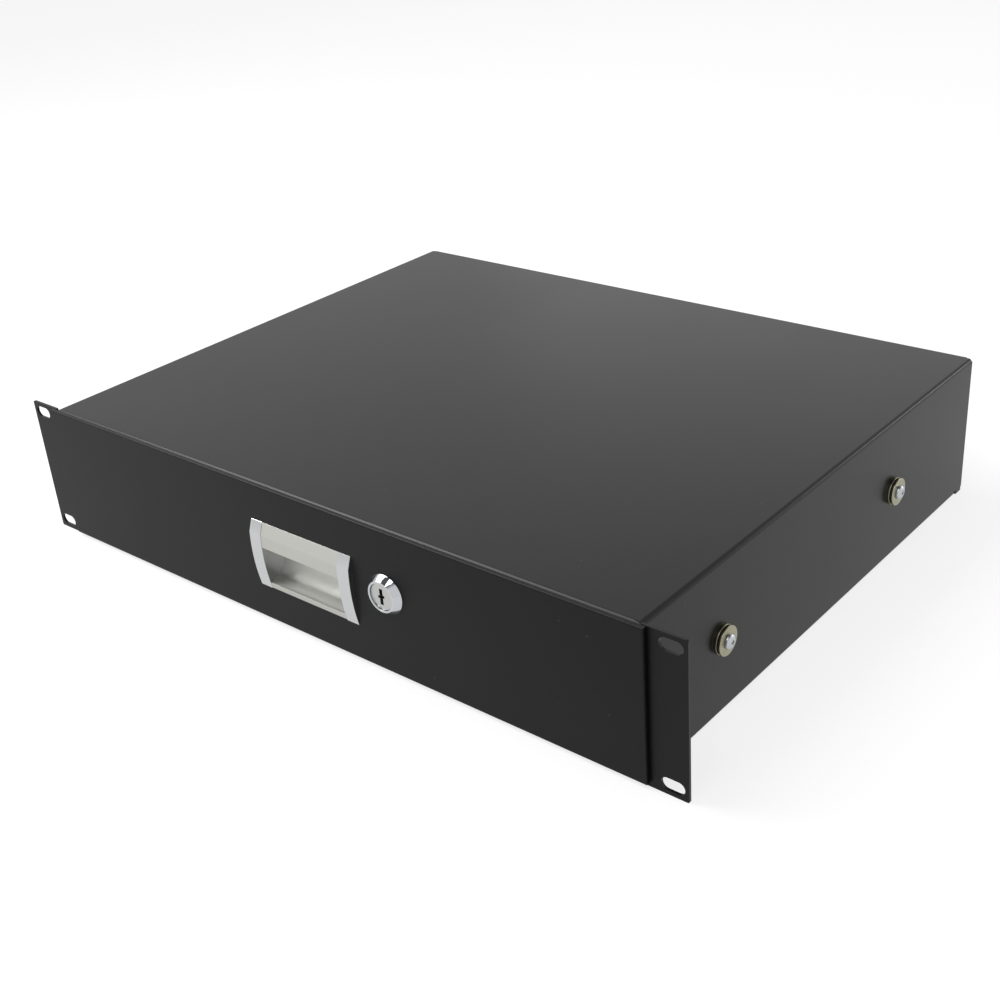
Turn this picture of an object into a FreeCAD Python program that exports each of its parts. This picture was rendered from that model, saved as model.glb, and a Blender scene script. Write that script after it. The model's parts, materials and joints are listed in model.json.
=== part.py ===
"""Lockable 2U sliding drawer for a 19-inch rack, in millimetres.

X runs across the rack (+X is the right-hand side seen from the front), Y to the rear and Z up.
The origin is the centre of the four rack slots, on the rear face of the ears, which bears on the rack.
"""
import FreeCAD, Part
import os
import re
import Sketcher
from math import sqrt

SIZES = [
    # rack interface
    ("rack_width", 482.6, "over both ears"),
    ("ear_height", 88.1, "two rack units less clearance"),
    ("slot_pitch_wide", 465.1, "between slot centres, across"),
    ("slot_pitch_high", 76.2, "between slot centres, up"),
    ("slot_length", 13.0, "end to end"),
    ("slot_height", 7.0, "clearance for M6"),
    ("ear_corner", 1.0, "radius of the ears' outer corners"),
    # housing
    ("housing_width", 434.0, "over the side walls"),
    ("housing_depth", 347.0, "front of the ears to the back"),
    ("housing_height", 87.7, "under the flanges to the top"),
    ("cover_sheet", 1.5, "sheet thickness of cover and base"),
    ("cover_bend", 0.8, "inner bend radius"),
    ("lip_height", 16.0, "front lip that the lock catches"),
    ("flange_width", 14.0, "bottom and rear flanges"),
    ("flange_setback", 12.0, "bottom flange from the front"),
    ("relief", 2.6, "corner relief notch"),
    ("sheet_gap", 1.0, "clears the bends of a sheet folded round another"),
    ("mitre_gap", 0.5, "open mitre of the rear flanges"),
    # countersunk screws of the base
    ("base_screw_radius", 1.5, "M3 shank"),
    ("base_head_radius", 2.8, "countersunk head"),
    ("base_head_depth", 1.3, "countersunk head"),
    ("base_screw_length", 6.0, "overall"),
    ("base_screw_first", 50.0, "first screw from the ear plane"),
    ("base_screw_pitch", 240.0, "along the side"),
    ("base_screw_inset", 8.0, "in from the side wall"),
    ("hole_gap", 0.1, "radial clearance of fastener holes"),
    # slides
    ("slide_z", -1.0, "centre height of the slides"),
    ("slide_thick", 12.7, "slide space beside the drawer"),
    ("rail_sheet", 1.2, "rail steel"),
    ("rail_bend", 0.6, "inner bend radius of the rails"),
    ("race_radius", 1.85, "ball race"),
    ("race_depth", 0.35, "ball race below the flange"),
    ("ball_radius", 1.75, "slide balls"),
    ("outer_ball_high", 19.45, "outer ball row from the slide centre"),
    ("outer_ball_in", 6.5, "outer ball row from the housing wall"),
    ("inner_ball_in", 9.5, "inner ball row from the housing wall"),
    ("outer_tip", 9.6, "edge of the outer rail's flange"),
    ("middle_web", 3.6, "middle rail's web from the housing wall"),
    ("middle_tip", 11.2, "edge of the middle rail's flange"),
    ("inner_tip", 7.6, "edge of the inner rail's flange"),
    ("rail_front", 1.0, "front end of the outer and inner rails"),
    ("rail_rear_gap", 8.5, "outer rail to the rear flange"),
    ("bumper_room", 8.0, "outer rail behind the closed middle and inner rails"),
    ("middle_front", 2.0, "front end of the middle rail"),
    ("travel", 320.0, "of the drawer"),
    # ball cages
    ("cage_sheet", 0.5, "retainer strip"),
    ("cage_length", 84.0, "retainer"),
    ("cage_bridge", 6.0, "bridge at each end"),
    ("cage_reach", 2.6, "strip past the ball centres"),
    ("cage_clear", 0.2, "retainer from the web beside it"),
    ("ball_gap", 0.07, "ball in its window"),
    ("outer_cage_front", 152.0, "closed position"),
    ("inner_cage_front", 125.0, "closed position"),
    ("ball_first", 8.0, "first ball from the cage end"),
    ("ball_pitch", 17.0, "along the cage"),
    # side screws and their washers
    ("side_screw_first", 65.5, "front screw"),
    ("side_screw_pitch", 180.0, "front to rear screw"),
    ("side_screw_radius", 2.0, "M4 shank"),
    ("thread_boss_radius", 3.4, "drawn boss in the outer rail"),
    ("thread_boss_height", 1.6, "drawn boss in the outer rail"),
    ("washer_radius", 8.0, "large washers"),
    ("washer_thick", 1.3, "large washers"),
    ("ring_radius", 7.2, "rubber ring"),
    ("ring_thick", 0.8, "rubber ring"),
    ("pan_head_radius", 4.0, "M4 pan head"),
    ("pan_head_height", 2.4, "M4 pan head"),
    ("recess_long", 4.2, "cross recess"),
    ("recess_wide", 0.9, "cross recess"),
    ("recess_deep", 1.3, "cross recess"),
    # bumpers at the back of the outer rails
    ("bumper_gap", 0.4, "behind the closed middle rail"),
    ("bumper_length", 6.0, "along the rail"),
    ("bumper_in", 8.5, "inner face from the housing wall"),
    # drawer tray
    ("tray_sheet", 1.2, "sheet thickness"),
    ("tray_bend", 0.8, "inner bend radius"),
    ("tray_clear", 8.0, "tray above the housing's underside"),
    ("tray_height", 60.0, "floor to rim"),
    ("tray_rear_gap", 13.8, "tray to the rear flange"),
    ("tray_flange", 8.0, "folded rim of the sides and back"),
    ("rail_screw_first", 70.0, "inner rail to tray"),
    ("rail_screw_pitch", 125.0, "inner rail to tray"),
    ("tray_screw_length", 4.0, "under the head"),
    ("nut_flats", 7.0, "M4 nut"),
    ("nut_height", 3.2, "M4 nut"),
    # front panel
    ("panel_width", 440.0, "over the folded edges"),
    ("panel_height", 86.0, "over the folded edges"),
    ("panel_top", 88.1, "top edge above the ears' lower edge"),
    ("panel_proud", 3.0, "front face before the ears"),
    ("panel_gap", 0.5, "folded edge to the ears"),
    ("panel_sheet", 1.2, "sheet thickness"),
    ("panel_edge", 0.9, "outer radius of the folds"),
    ("stud_across", 180.0, "welded studs from the middle"),
    ("stud_low", 22.0, "lower studs above the ears' lower edge"),
    ("stud_pitch", 36.0, "lower to upper stud"),
    ("stud_radius", 2.0, "M4"),
    ("stud_length", 7.0, "behind the panel"),
    # pull handle
    ("handle_z", 1.35, "centre height"),
    ("handle_height", 41.8, "end caps"),
    ("handle_width", 76.4, "over the end caps"),
    ("grip_length", 59.0, "extrusion between the end caps"),
    ("handle_bulge", 3.35, "arch in front of the panel"),
    ("arch_radius", 115.0, "arch of the face"),
    ("arch_crest", 5.0, "crest above the handle's centre"),
    ("facet_from", 14.0, "start of the flat slope at the top"),
    ("cap_rim", 0.4, "cap edge at the panel"),
    ("grip_inset", 0.25, "extrusion below the caps"),
    ("grip_wall", 1.3, "extrusion wall"),
    ("plate_edge", 6.0, "lower edge of the face plate"),
    ("pocket_depth", 12.0, "behind the panel's face"),
    ("pocket_top", 15.2, "pocket ceiling"),
    ("pocket_low", -16.6, "pocket floor at the front"),
    ("pocket_back", -12.2, "pocket floor at the back"),
    ("pocket_round", 11.0, "scoop radius"),
    ("cutout_gap", 0.4, "panel cut-out round the pocket"),
    ("cap_end_plate", 1.5, "closes the pocket's end"),
    ("boss_radius", 3.0, "fixing boss"),
    ("boss_short", 0.3, "boss end inside the wall"),
    ("handle_screw_radius", 1.45, "shank"),
    ("handle_screw_reach", 4.1, "shank into the cap"),
    ("handle_head_radius", 3.5, "head"),
    ("handle_head_height", 2.0, "head"),
    # cam lock
    ("lock_x", 61.5, "lock axis from the middle"),
    ("lock_z", 7.6, "lock axis height"),
    ("bezel_radius", 11.5, "base of the cone"),
    ("bezel_rim", 0.7, "straight rim at the base"),
    ("bezel_height", 4.2, "in front of the panel"),
    ("bezel_front_radius", 8.9, "front ring"),
    ("plug_head_radius", 7.7, "plug face"),
    ("plug_head_back", 1.3, "shoulder in front of the panel"),
    ("plug_recess", 0.6, "plug face behind the ring"),
    ("plug_radius", 6.2, "plug shaft"),
    ("plug_gap", 0.08, "running clearance of the plug"),
    ("barrel_radius", 9.3, "threaded body"),
    ("barrel_flats", 16.0, "across the two flats"),
    ("barrel_length", 16.0, "behind the panel's face"),
    ("plug_end_gap", 0.5, "plug past the barrel"),
    ("square_half", 3.0, "square for the cam"),
    ("square_length", 2.2, "square for the cam"),
    ("lock_nut_flats", 24.0, "nut"),
    ("lock_nut_height", 5.0, "nut"),
    ("cam_thick", 2.0, "cam"),
    ("cam_half_width", 6.5, "cam"),
    ("cam_hub_radius", 8.0, "cam round the square"),
    ("cam_crank_at", 15.6, "inner face of the crank"),
    ("cam_reach", 31.0, "tip from the lock axis"),
    ("cam_tip_behind", 2.4, "tip behind the lip"),
    ("cam_screw_radius", 2.0, "shank"),
    ("cam_screw_depth", 8.0, "into the plug"),
    ("cam_head_radius", 4.6, "head with its collar"),
    ("cam_head_height", 2.6, "head"),
    ("key_high", 9.4, "keyway"),
    ("key_wide", 2.2, "keyway"),
    ("key_arm", 2.2, "side wards from the middle"),
    ("key_deep", 9.0, "keyway"),
    # release levers
    ("lever_pivot", 160.0, "pivot along the slide"),
    ("lever_in", 8.8, "outer face from the housing wall"),
    ("lever_thick", 2.5, "lever"),
    ("lever_front", 25.0, "finger end from the pivot"),
    ("lever_boss", 4.2, "radius round the pin"),
    ("lever_low", 2.0, "blade below the slide centre"),
    ("lever_tail", 1.0, "blade above the slide centre, at the hook"),
    ("lever_tab_gap", 0.5, "hook above the stop tab's lower edge"),
    ("finger_height", 5.0, "finger end above the slide centre"),
    ("finger_length", 6.0, "finger end along the slide"),
    ("finger_rib_length", 5.0, "rib behind the finger end"),
    ("finger_rib_reach", 1.0, "rib short of the inner rail's flange"),
    ("hook_gap", 0.5, "hook behind the stop tab at full travel"),
    ("hook_thick", 4.0, "along the slide"),
    ("hook_in", 5.7, "hook tip from the housing wall"),
    ("stop_tab_front", 12.0, "stop tab on the middle rail"),
    ("stop_tab_height", 2.9, "stop tab off the web"),
    ("stop_tab_wide", 5.0, "stop tab below the slide centre"),
    ("lever_pin_radius", 1.8, "rivet shank"),
    ("lever_pin_gap", 0.05, "running clearance of the lever"),
    ("lever_head_radius", 3.0, "rivet head"),
    ("lever_head_height", 0.6, "rivet head"),
]
BALLS_PER_ROW = 5
TRAY_SCREWS_PER_SIDE = 3
BASE_SCREWS_PER_SIDE = 2

doc = FreeCAD.newDocument("rack_drawer")
sheet = doc.addObject("Spreadsheet::Sheet", "Sizes")
for row, (alias, value, note) in enumerate(SIZES, start=1):
    sheet.set(f"A{row}", alias)
    sheet.set(f"B{row}", str(value))
    sheet.set(f"C{row}", note)
    sheet.setAlias(f"B{row}", alias)
doc.recompute()

ALIASES = re.compile(r"\b(" + "|".join(alias for alias, _, _ in SIZES) + r")\b")
subparts = []

# Planes and faces that several sub-parts share, as expressions of the sizes.
FLOOR = "(-ear_height / 2)"
ROOF = "(housing_height - ear_height / 2)"
HALF = "(housing_width / 2)"
SIDE = "(housing_width / 2 - cover_sheet)"
FRONT = "(-cover_sheet)"
REAR = "(housing_depth - cover_sheet)"
OUTER_END = "(housing_depth - cover_sheet - rail_rear_gap)"
CLOSED_END = "(housing_depth - cover_sheet - rail_rear_gap - bumper_room)"
FACE = "(-cover_sheet - panel_proud)"
PANEL_BACK = "(-cover_sheet - panel_proud + panel_sheet)"
WALL_BACK = "(-cover_sheet - panel_proud + panel_sheet + tray_sheet)"
TRAY_HALF = "(housing_width / 2 - cover_sheet - slide_thick)"
TRAY_LOW = "(tray_clear - ear_height / 2)"
TRAY_TOP = "(tray_clear + tray_height - ear_height / 2)"


# --- helpers -----------------------------------------------------------------------------------

def bound(text):
    """The expression with each size name pointing at the spreadsheet."""
    return ALIASES.sub(r"Sizes.\1", text)


def number(text):
    """The expression's value now."""
    return float(sheet.evalExpression(text))


def new_body(label):
    body = doc.addObject("PartDesign::Body", label)
    body.Label = label
    subparts.append(body)
    return body


def origin_item(body, role):
    return next(item for item in body.Origin.OriginFeatures if item.Role == role)


def new_sketch(body, plane, name, shift=None):
    """A sketch on an origin plane; shift moves it in the plane's own x, y and normal."""
    sketch = body.newObject("Sketcher::SketchObject", f"{body.Name}_{name}")
    sketch.AttachmentSupport = (origin_item(body, f"{plane}_Plane"), "")
    sketch.MapMode = "FlatFace"
    for axis, text in (shift or {}).items():
        sketch.setExpression(f"AttachmentOffset.Base.{axis}", bound(text))
    return sketch


def pin(sketch, geometry, point, x, y):
    """Fix a point of the sketch at two expressions."""
    for kind, text in (("DistanceX", x), ("DistanceY", y)):
        index = sketch.addConstraint(
            Sketcher.Constraint(kind, -1, 1, geometry, point, number(text)))
        sketch.renameConstraint(index, f"c{index}")
        sketch.setExpression(f"Constraints.c{index}", bound(text))


def set_radius(sketch, geometry, text):
    index = sketch.addConstraint(Sketcher.Constraint("Radius", geometry, number(text)))
    sketch.renameConstraint(index, f"c{index}")
    sketch.setExpression(f"Constraints.c{index}", bound(text))


def circle(sketch, x, y, radius):
    centre = FreeCAD.Vector(number(x), number(y), 0)
    geometry = sketch.addGeometry(
        Part.Circle(centre, FreeCAD.Vector(0, 0, 1), number(radius)))
    pin(sketch, geometry, 3, x, y)
    set_radius(sketch, geometry, radius)


def arc_between(start, end, radius, turn):
    """The shorter arc from start to end, whose centre lies left (turn 1) or right (-1)."""
    chord = end - start
    left = FreeCAD.Vector(-chord.y, chord.x, 0).normalize()
    height = sqrt(max(radius ** 2 - (chord.Length / 2) ** 2, 0))
    centre = (start + end) * 0.5 + left * (turn * height)
    first, last = (start, end) if turn > 0 else (end, start)
    along = FreeCAD.Vector(1, 0, 0)
    angles = [along.getAngle(p - centre) * (1 if p.y >= centre.y else -1) for p in (first, last)]
    round_line = Part.Circle(centre, FreeCAD.Vector(0, 0, 1), radius)
    return Part.ArcOfCircle(round_line, *angles)


def trace(sketch, corners):
    """A closed outline; a corner (x, y, radius, turn) starts an arc to the next corner."""
    points = [FreeCAD.Vector(number(c[0]), number(c[1]), 0) for c in corners]
    edges = []
    for index, corner in enumerate(corners):
        start, end = points[index], points[(index + 1) % len(points)]
        if len(corner) == 2:
            edges.append((sketch.addGeometry(Part.LineSegment(start, end)), 1, 2))
        else:
            arc = arc_between(start, end, number(corner[2]), corner[3])
            ends = (1, 2) if corner[3] > 0 else (2, 1)
            edges.append((sketch.addGeometry(arc), *ends))
    for index, (geometry, first, _) in enumerate(edges):
        before, _, last = edges[index - 1]
        sketch.addConstraint(Sketcher.Constraint("Coincident", before, last, geometry, first))
        pin(sketch, geometry, first, corners[index][0], corners[index][1])
        if len(corners[index]) == 4:
            set_radius(sketch, geometry, corners[index][2])


def rectangle(sketch, x, y):
    trace(sketch, [(x[0], y[0]), (x[1], y[0]), (x[1], y[1]), (x[0], y[1])])


def hexagon(sketch, x, y, flats):
    corner = f"({flats}) / sqrt(3)"
    steps = [("1", "0"), ("0.5", "0.5"), ("-0.5", "0.5"),
             ("-1", "0"), ("-0.5", "-0.5"), ("0.5", "-0.5")]
    trace(sketch, [(f"{x} + {corner} * {a}", f"{y} + ({flats}) * {b}") for a, b in steps])


def long_hole(sketch, x, y, length, height):
    """A slot along the sketch's x, centred at x, y."""
    reach = f"(({length}) - ({height})) / 2"
    radius = number(height) / 2
    half = number(reach)
    centre = FreeCAD.Vector(number(x), number(y), 0)
    right_angle = FreeCAD.Vector(0, radius, 0)
    centres = [centre + FreeCAD.Vector(step * half, 0, 0) for step in (-1, 1)]
    ends = [sketch.addGeometry(arc_between(c + right_angle * step, c - right_angle * step, radius, 1))
            for c, step in zip(centres, (1, -1))]
    low = sketch.addGeometry(Part.LineSegment(centres[0] - right_angle, centres[1] - right_angle))
    top = sketch.addGeometry(Part.LineSegment(centres[1] + right_angle, centres[0] + right_angle))
    for first, second in ((ends[0], low), (low, ends[1]), (ends[1], top), (top, ends[0])):
        sketch.addConstraint(Sketcher.Constraint("Tangent", first, 2, second, 1))
    sketch.addConstraint(Sketcher.Constraint("Equal", ends[0], ends[1]))
    pin(sketch, ends[0], 3, f"{x} - {reach}", y)
    pin(sketch, ends[1], 3, f"{x} + {reach}", y)
    set_radius(sketch, ends[0], f"({height}) / 2")


def offset_to(sketch, plane, place):
    """Put the sketch at a place along its plane's normal; XZ's normal points to the front."""
    text = f"-({place})" if plane == "XZ" else place
    sketch.setExpression("AttachmentOffset.Base.z", bound(text))


def pad(body, sketch, plane, low, high, name):
    """Material from low to high along the world axis that the plane faces."""
    offset_to(sketch, plane, high if plane == "XZ" else low)
    feature = body.newObject("PartDesign::Pad", f"{body.Name}_{name}")
    feature.Profile = sketch
    feature.setExpression("Length", bound(f"({high}) - ({low})"))
    doc.recompute()
    return feature


def pocket(body, sketch, plane, low, high, name):
    """Remove material from low to high along the world axis that the plane faces."""
    before = body.Tip.Shape.Volume
    offset_to(sketch, plane, low if plane == "XZ" else high)
    feature = body.newObject("PartDesign::Pocket", f"{body.Name}_{name}")
    feature.Profile = sketch
    feature.setExpression("Length", bound(f"({high}) - ({low})"))
    doc.recompute()
    if feature.Shape.isNull() or feature.Shape.Volume > before - 1e-6:
        raise RuntimeError(f"{feature.Name} cuts nothing")
    return feature


def slab(body, name, x, y, z):
    """A flat piece of sheet between expressions on each axis."""
    sketch = new_sketch(body, "XZ", name)
    rectangle(sketch, x, z)
    return pad(body, sketch, "XZ", y[0], y[1], name + "_pad")


def cut_box(body, name, x, y, z):
    sketch = new_sketch(body, "XZ", name)
    rectangle(sketch, x, z)
    return pocket(body, sketch, "XZ", y[0], y[1], name + "_cut")


def turned(body, name, plane, shift, axis, corners):
    """A turned piece: a half outline about the shifted sketch's own axis."""
    sketch = new_sketch(body, plane, name, shift)
    trace(sketch, corners)
    feature = body.newObject("PartDesign::Revolution", f"{body.Name}_{name}_turn")
    feature.Profile = sketch
    feature.ReferenceAxis = (sketch, [axis])
    feature.Angle = 360
    doc.recompute()
    return feature


def straight_edges(shape, along, **places):
    """Names of the straight edges along an axis that lie at the given places."""
    names = []
    for index, edge in enumerate(shape.Edges, start=1):
        if len(edge.Vertexes) != 2:
            continue
        ends = [vertex.Point for vertex in edge.Vertexes]
        run = ends[1] - ends[0]
        if abs(edge.Length - run.Length) > 1e-6 or \
                abs(getattr(run, along.lower())) < 0.999 * run.Length:
            continue
        middle = (ends[0] + ends[1]) * 0.5
        if all(any(abs(getattr(middle, axis.lower()) - value) < 1e-4 for value in values)
               for axis, values in places.items()):
            names.append(f"Edge{index}")
    return names


def both(text):
    """The value on both sides of the middle plane."""
    value = number(text)
    return (value, -value)


def round_edges(body, name, radius, *groups):
    """Fillet the edges that each group (along, places) finds."""
    base = body.Tip
    names = []
    for along, places in groups:
        found = straight_edges(base.Shape, along, **places)
        if not found:
            raise RuntimeError(f"{body.Name}_{name} finds no edge along {along}")
        names += [edge for edge in found if edge not in names]
    feature = body.newObject("PartDesign::Fillet", f"{body.Name}_{name}")
    feature.Base = (base, names)
    feature.setExpression("Radius", bound(radius))
    doc.recompute()
    return feature


def row_of(body, name, axis, length, count, second=None):
    """Repeat the whole shape along an axis, and along a second one if given."""
    feature = body.newObject("PartDesign::LinearPattern", f"{body.Name}_{name}")
    feature.TransformMode = "Whole shape"
    feature.Direction = (origin_item(body, f"{axis}_Axis"), [""])
    feature.Occurrences = count
    feature.setExpression("Length", bound(length))
    if second:
        feature.Direction2 = (origin_item(body, f"{second[0]}_Axis"), [""])
        feature.Occurrences2 = second[2]
        feature.setExpression("Length2", bound(second[1]))
    body.Tip = feature
    doc.recompute()
    return feature


def mirrored(body, name):
    """Repeat the whole shape on the other side of the middle plane."""
    feature = body.newObject("PartDesign::Mirrored", f"{body.Name}_{name}")
    feature.TransformMode = "Whole shape"
    feature.MirrorPlane = (origin_item(body, "YZ_Plane"), [""])
    body.Tip = feature
    doc.recompute()
    return feature


def signed(side, text):
    return f"({text})" if side > 0 else f"(-({text}))"


def span(side, low, high):
    """Low and high along X on one side of the drawer, in rising order."""
    return (low, high) if side > 0 else (f"-({high})", f"-({low})")


# --- housing -----------------------------------------------------------------------------------

def make_top_cover():
    """One folded sheet: top, sides, ears, front lip, rear and bottom flanges."""
    body = new_body("top_cover")
    channel = new_sketch(body, "XZ", "channel")
    under = f"{ROOF} - cover_sheet"
    trace(channel, [(f"-{HALF}", FLOOR), (f"-{HALF}", ROOF), (HALF, ROOF), (HALF, FLOOR),
                    (SIDE, FLOOR), (SIDE, under), (f"-{SIDE}", under), (f"-{SIDE}", FLOOR)])
    pad(body, channel, "XZ", FRONT, REAR, "channel_pad")

    inner = f"({SIDE} - relief)"
    slab(body, "front_lip", (f"-{inner}", inner), (FRONT, "0"), (f"{ROOF} - lip_height", ROOF))
    slab(body, "rear_lip", (f"-{inner}", inner), (f"{REAR} - cover_sheet", REAR),
         (f"{ROOF} - flange_width", ROOF))
    for side, hand in ((1, "right"), (-1, "left")):
        slab(body, f"ear_{hand}", span(side, SIDE, "rack_width / 2"), (FRONT, "0"),
             (FLOOR, f"-{FLOOR}"))
        slab(body, f"rear_flange_{hand}", span(side, f"{HALF} - flange_width", HALF),
             (f"{REAR} - cover_sheet", REAR), (f"{FLOOR} + relief", f"{ROOF} - relief"))
        slab(body, f"bottom_flange_{hand}", span(side, f"{HALF} - flange_width", HALF),
             ("flange_setback", f"{REAR} - flange_setback"), (FLOOR, f"{FLOOR} + cover_sheet"))
        corner, wall = span(side, inner, HALF), span(side, SIDE, HALF)
        top = (f"{ROOF} - relief", f"{ROOF} + relief")
        low = (f"{FLOOR} - relief", f"{FLOOR} + relief")
        cut_box(body, f"front_relief_{hand}", corner, (FRONT, f"{FRONT} + relief"), top)
        cut_box(body, f"rear_relief_{hand}", corner, (f"{REAR} - relief", REAR), top)
        cut_box(body, f"foot_relief_{hand}", wall, (f"{REAR} - relief", REAR), low)
        cut_box(body, f"flange_front_relief_{hand}", wall,
                ("flange_setback - relief", "flange_setback"), low)
        cut_box(body, f"flange_rear_relief_{hand}", wall,
                (f"{REAR} - flange_setback", f"{REAR} - flange_setback + relief"), low)

    round_edges(body, "outer_bends", "cover_bend + cover_sheet",
                ("Y", dict(X=both(HALF), Z=(number(ROOF),))),
                ("Y", dict(X=both(HALF), Y=(number(REAR) / 2,), Z=(number(FLOOR),))),
                ("X", dict(Y=(number(FRONT), number(REAR)), Z=(number(ROOF),))),
                ("Z", dict(X=both(HALF), Y=(number(REAR),))),
                ("Z", dict(X=both(SIDE), Y=(number(FRONT),))))
    round_edges(body, "inner_bends", "cover_bend",
                ("Y", dict(X=both(SIDE), Z=(number(under), number(f"{FLOOR} + cover_sheet")))),
                ("X", dict(Y=(0, number(f"{REAR} - cover_sheet")), Z=(number(under),))),
                ("Z", dict(X=both(HALF), Y=(0,),
                           Z=(number(f"({FLOOR} + {ROOF} - relief) / 2"),))),
                ("Z", dict(X=both(SIDE), Y=(number(f"{REAR} - cover_sheet"),))))
    for side, hand in ((1, "right"), (-1, "left")):
        mitre = new_sketch(body, "XZ", f"mitre_{hand}")
        ends = (f"{SIDE} - relief / 2", f"{HALF} - flange_width - sheet_gap")
        rise = (f"{ROOF} - relief / 2", f"{ROOF} - flange_width - sheet_gap")
        trace(mitre, [(signed(side, f"{ends[0]} + mitre_gap"), rise[0]),
                      (signed(side, ends[0]), f"{rise[0]} + mitre_gap"),
                      (signed(side, ends[1]), f"{rise[1]} + mitre_gap"),
                      (signed(side, f"{ends[1]} + mitre_gap"), rise[1])])
        pocket(body, mitre, "XZ", f"{REAR} - 2 * cover_sheet", f"{REAR} + cover_sheet",
               f"mitre_{hand}_cut")
    round_edges(body, "ear_corners", "ear_corner",
                ("Y", dict(X=both("rack_width / 2"), Z=both(FLOOR))))

    slots = new_sketch(body, "XZ", "slots")
    for x in ("-slot_pitch_wide / 2", "slot_pitch_wide / 2"):
        for z in ("-slot_pitch_high / 2", "slot_pitch_high / 2"):
            long_hole(slots, x, z, "slot_length", "slot_height")
    pocket(body, slots, "XZ", FRONT, "0", "slots_cut")

    for side, hand in ((1, "right"), (-1, "left")):
        holes = new_sketch(body, "YZ", f"screw_holes_{hand}")
        for place in ("side_screw_first", "side_screw_first + side_screw_pitch"):
            circle(holes, place, "slide_z", "side_screw_radius + hole_gap")
        low, high = span(side, SIDE, HALF)
        pocket(body, holes, "YZ", low, high, f"screw_holes_{hand}_cut")

    for side, hand in ((1, "right"), (-1, "left")):
        for index in range(BASE_SCREWS_PER_SIDE):
            recess = new_sketch(body, "XZ", f"countersink_{hand}_{index}", {
                "x": signed(side, f"{HALF} - base_screw_inset"),
                "y": FLOOR,
                "z": f"-(base_screw_first + {index} * base_screw_pitch)"})
            narrow = "base_screw_radius + hole_gap"
            wide = "base_head_radius + hole_gap"
            trace(recess, [("0", "0"), (wide, "0"), (narrow, "base_head_depth"),
                           (narrow, "cover_sheet"), ("0", "cover_sheet")])
            groove = body.newObject("PartDesign::Groove", f"top_cover_sink_{hand}_{index}")
            groove.Profile = recess
            groove.ReferenceAxis = (recess, ["V_Axis"])
            groove.Angle = 360
            doc.recompute()


def make_base_plate():
    """Floor and rear wall in one sheet, inside the cover's flanges, with a turned-down front."""
    body = new_body("base_plate")
    reach = f"({SIDE} - sheet_gap)"
    wide = (f"-{reach}", reach)
    low, high = f"{FLOOR} + cover_sheet", f"{FLOOR} + 2 * cover_sheet"
    back, wall = f"{REAR} - cover_sheet", f"{REAR} - 2 * cover_sheet"
    slab(body, "floor", wide, ("0", back), (low, high))
    slab(body, "rear_wall", wide, (wall, back), (low, f"{ROOF} - cover_sheet - sheet_gap"))
    slab(body, "front_hem", wide, ("0", "cover_sheet"), (FLOOR, high))
    round_edges(body, "outer_bends", "cover_bend + cover_sheet",
                ("X", dict(Y=(number(back),), Z=(number(low),))),
                ("X", dict(Y=(0,), Z=(number(high),))))
    round_edges(body, "inner_bends", "cover_bend",
                ("X", dict(Y=(number(wall),), Z=(number(high),))),
                ("X", dict(Y=(number("cover_sheet"),), Z=(number(low),))))
    holes = new_sketch(body, "XY", "screw_holes")
    for side in (1, -1):
        for index in range(BASE_SCREWS_PER_SIDE):
            circle(holes, signed(side, f"{HALF} - base_screw_inset"),
                   f"base_screw_first + {index} * base_screw_pitch",
                   "base_screw_radius + hole_gap")
    pocket(body, holes, "XY", low, high, "screw_holes_cut")


def make_base_screws():
    """Countersunk screws, flush with the underside of the cover's flanges."""
    body = new_body("base_screws")
    turned(body, "screw", "XZ",
           {"x": f"{HALF} - base_screw_inset", "y": FLOOR, "z": "-base_screw_first"}, "V_Axis",
           [("0", "0"), ("base_head_radius", "0"), ("base_screw_radius", "base_head_depth"),
            ("base_screw_radius", "base_screw_length"), ("0", "base_screw_length")])
    row_of(body, "row", "Y", f"{BASE_SCREWS_PER_SIDE - 1} * base_screw_pitch",
           BASE_SCREWS_PER_SIDE)
    mirrored(body, "both_sides")


# --- telescopic slides -------------------------------------------------------------------------
# Across the slide, u is measured in from the housing wall and v up from the slide's centre.

RACE_HALF = "sqrt(race_radius^2 - (race_radius - race_depth)^2)"
BACK_RADIUS = "(race_radius + rail_sheet)"
BACK_HALF = f"sqrt({BACK_RADIUS}^2 - ({BACK_RADIUS} - race_depth)^2)"
SEAT = "(race_radius - race_depth)"
OUTER_UNDER = f"(outer_ball_high + {SEAT})"
MIDDLE_TOP = f"(outer_ball_high - {SEAT})"
MIDDLE_UNDER = f"({MIDDLE_TOP} - rail_sheet)"
INNER_BALL_HIGH = f"({MIDDLE_UNDER} - {SEAT})"
INNER_TOP = f"({INNER_BALL_HIGH} - {SEAT})"
INNER_UNDER = f"({INNER_TOP} - rail_sheet)"


def race(ball, level, direction, turn, back=False):
    """Two corners of an outline that follow a ball race, or the raised back of one."""
    half = BACK_HALF if back else RACE_HALF
    radius = BACK_RADIUS if back else "race_radius"
    before, after = ("-", "+") if direction > 0 else ("+", "-")
    return [(f"{ball} {before} {half}", level, radius, turn), (f"{ball} {after} {half}", level)]


def folded(upper):
    """Close a channel's outline: the upper half, then the same below the slide's centre."""
    lower = []
    for index in range(len(upper) - 1, -1, -1):
        arc = upper[index - 1][2:] if index > 0 else ()
        lower.append((upper[index][0], f"-{upper[index][1]}", *arc))
    return upper + lower


def on_side(side, corners):
    """Turn (u, v) corners into X and Z on one side of the drawer."""
    placed = []
    for corner in corners:
        x = signed(side, f"{SIDE} - ({corner[0]})")
        z = f"slide_z + ({corner[1]})"
        arc = (corner[2], -side * corner[3]) if len(corner) == 4 else ()
        placed.append((x, z, *arc))
    return placed


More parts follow.
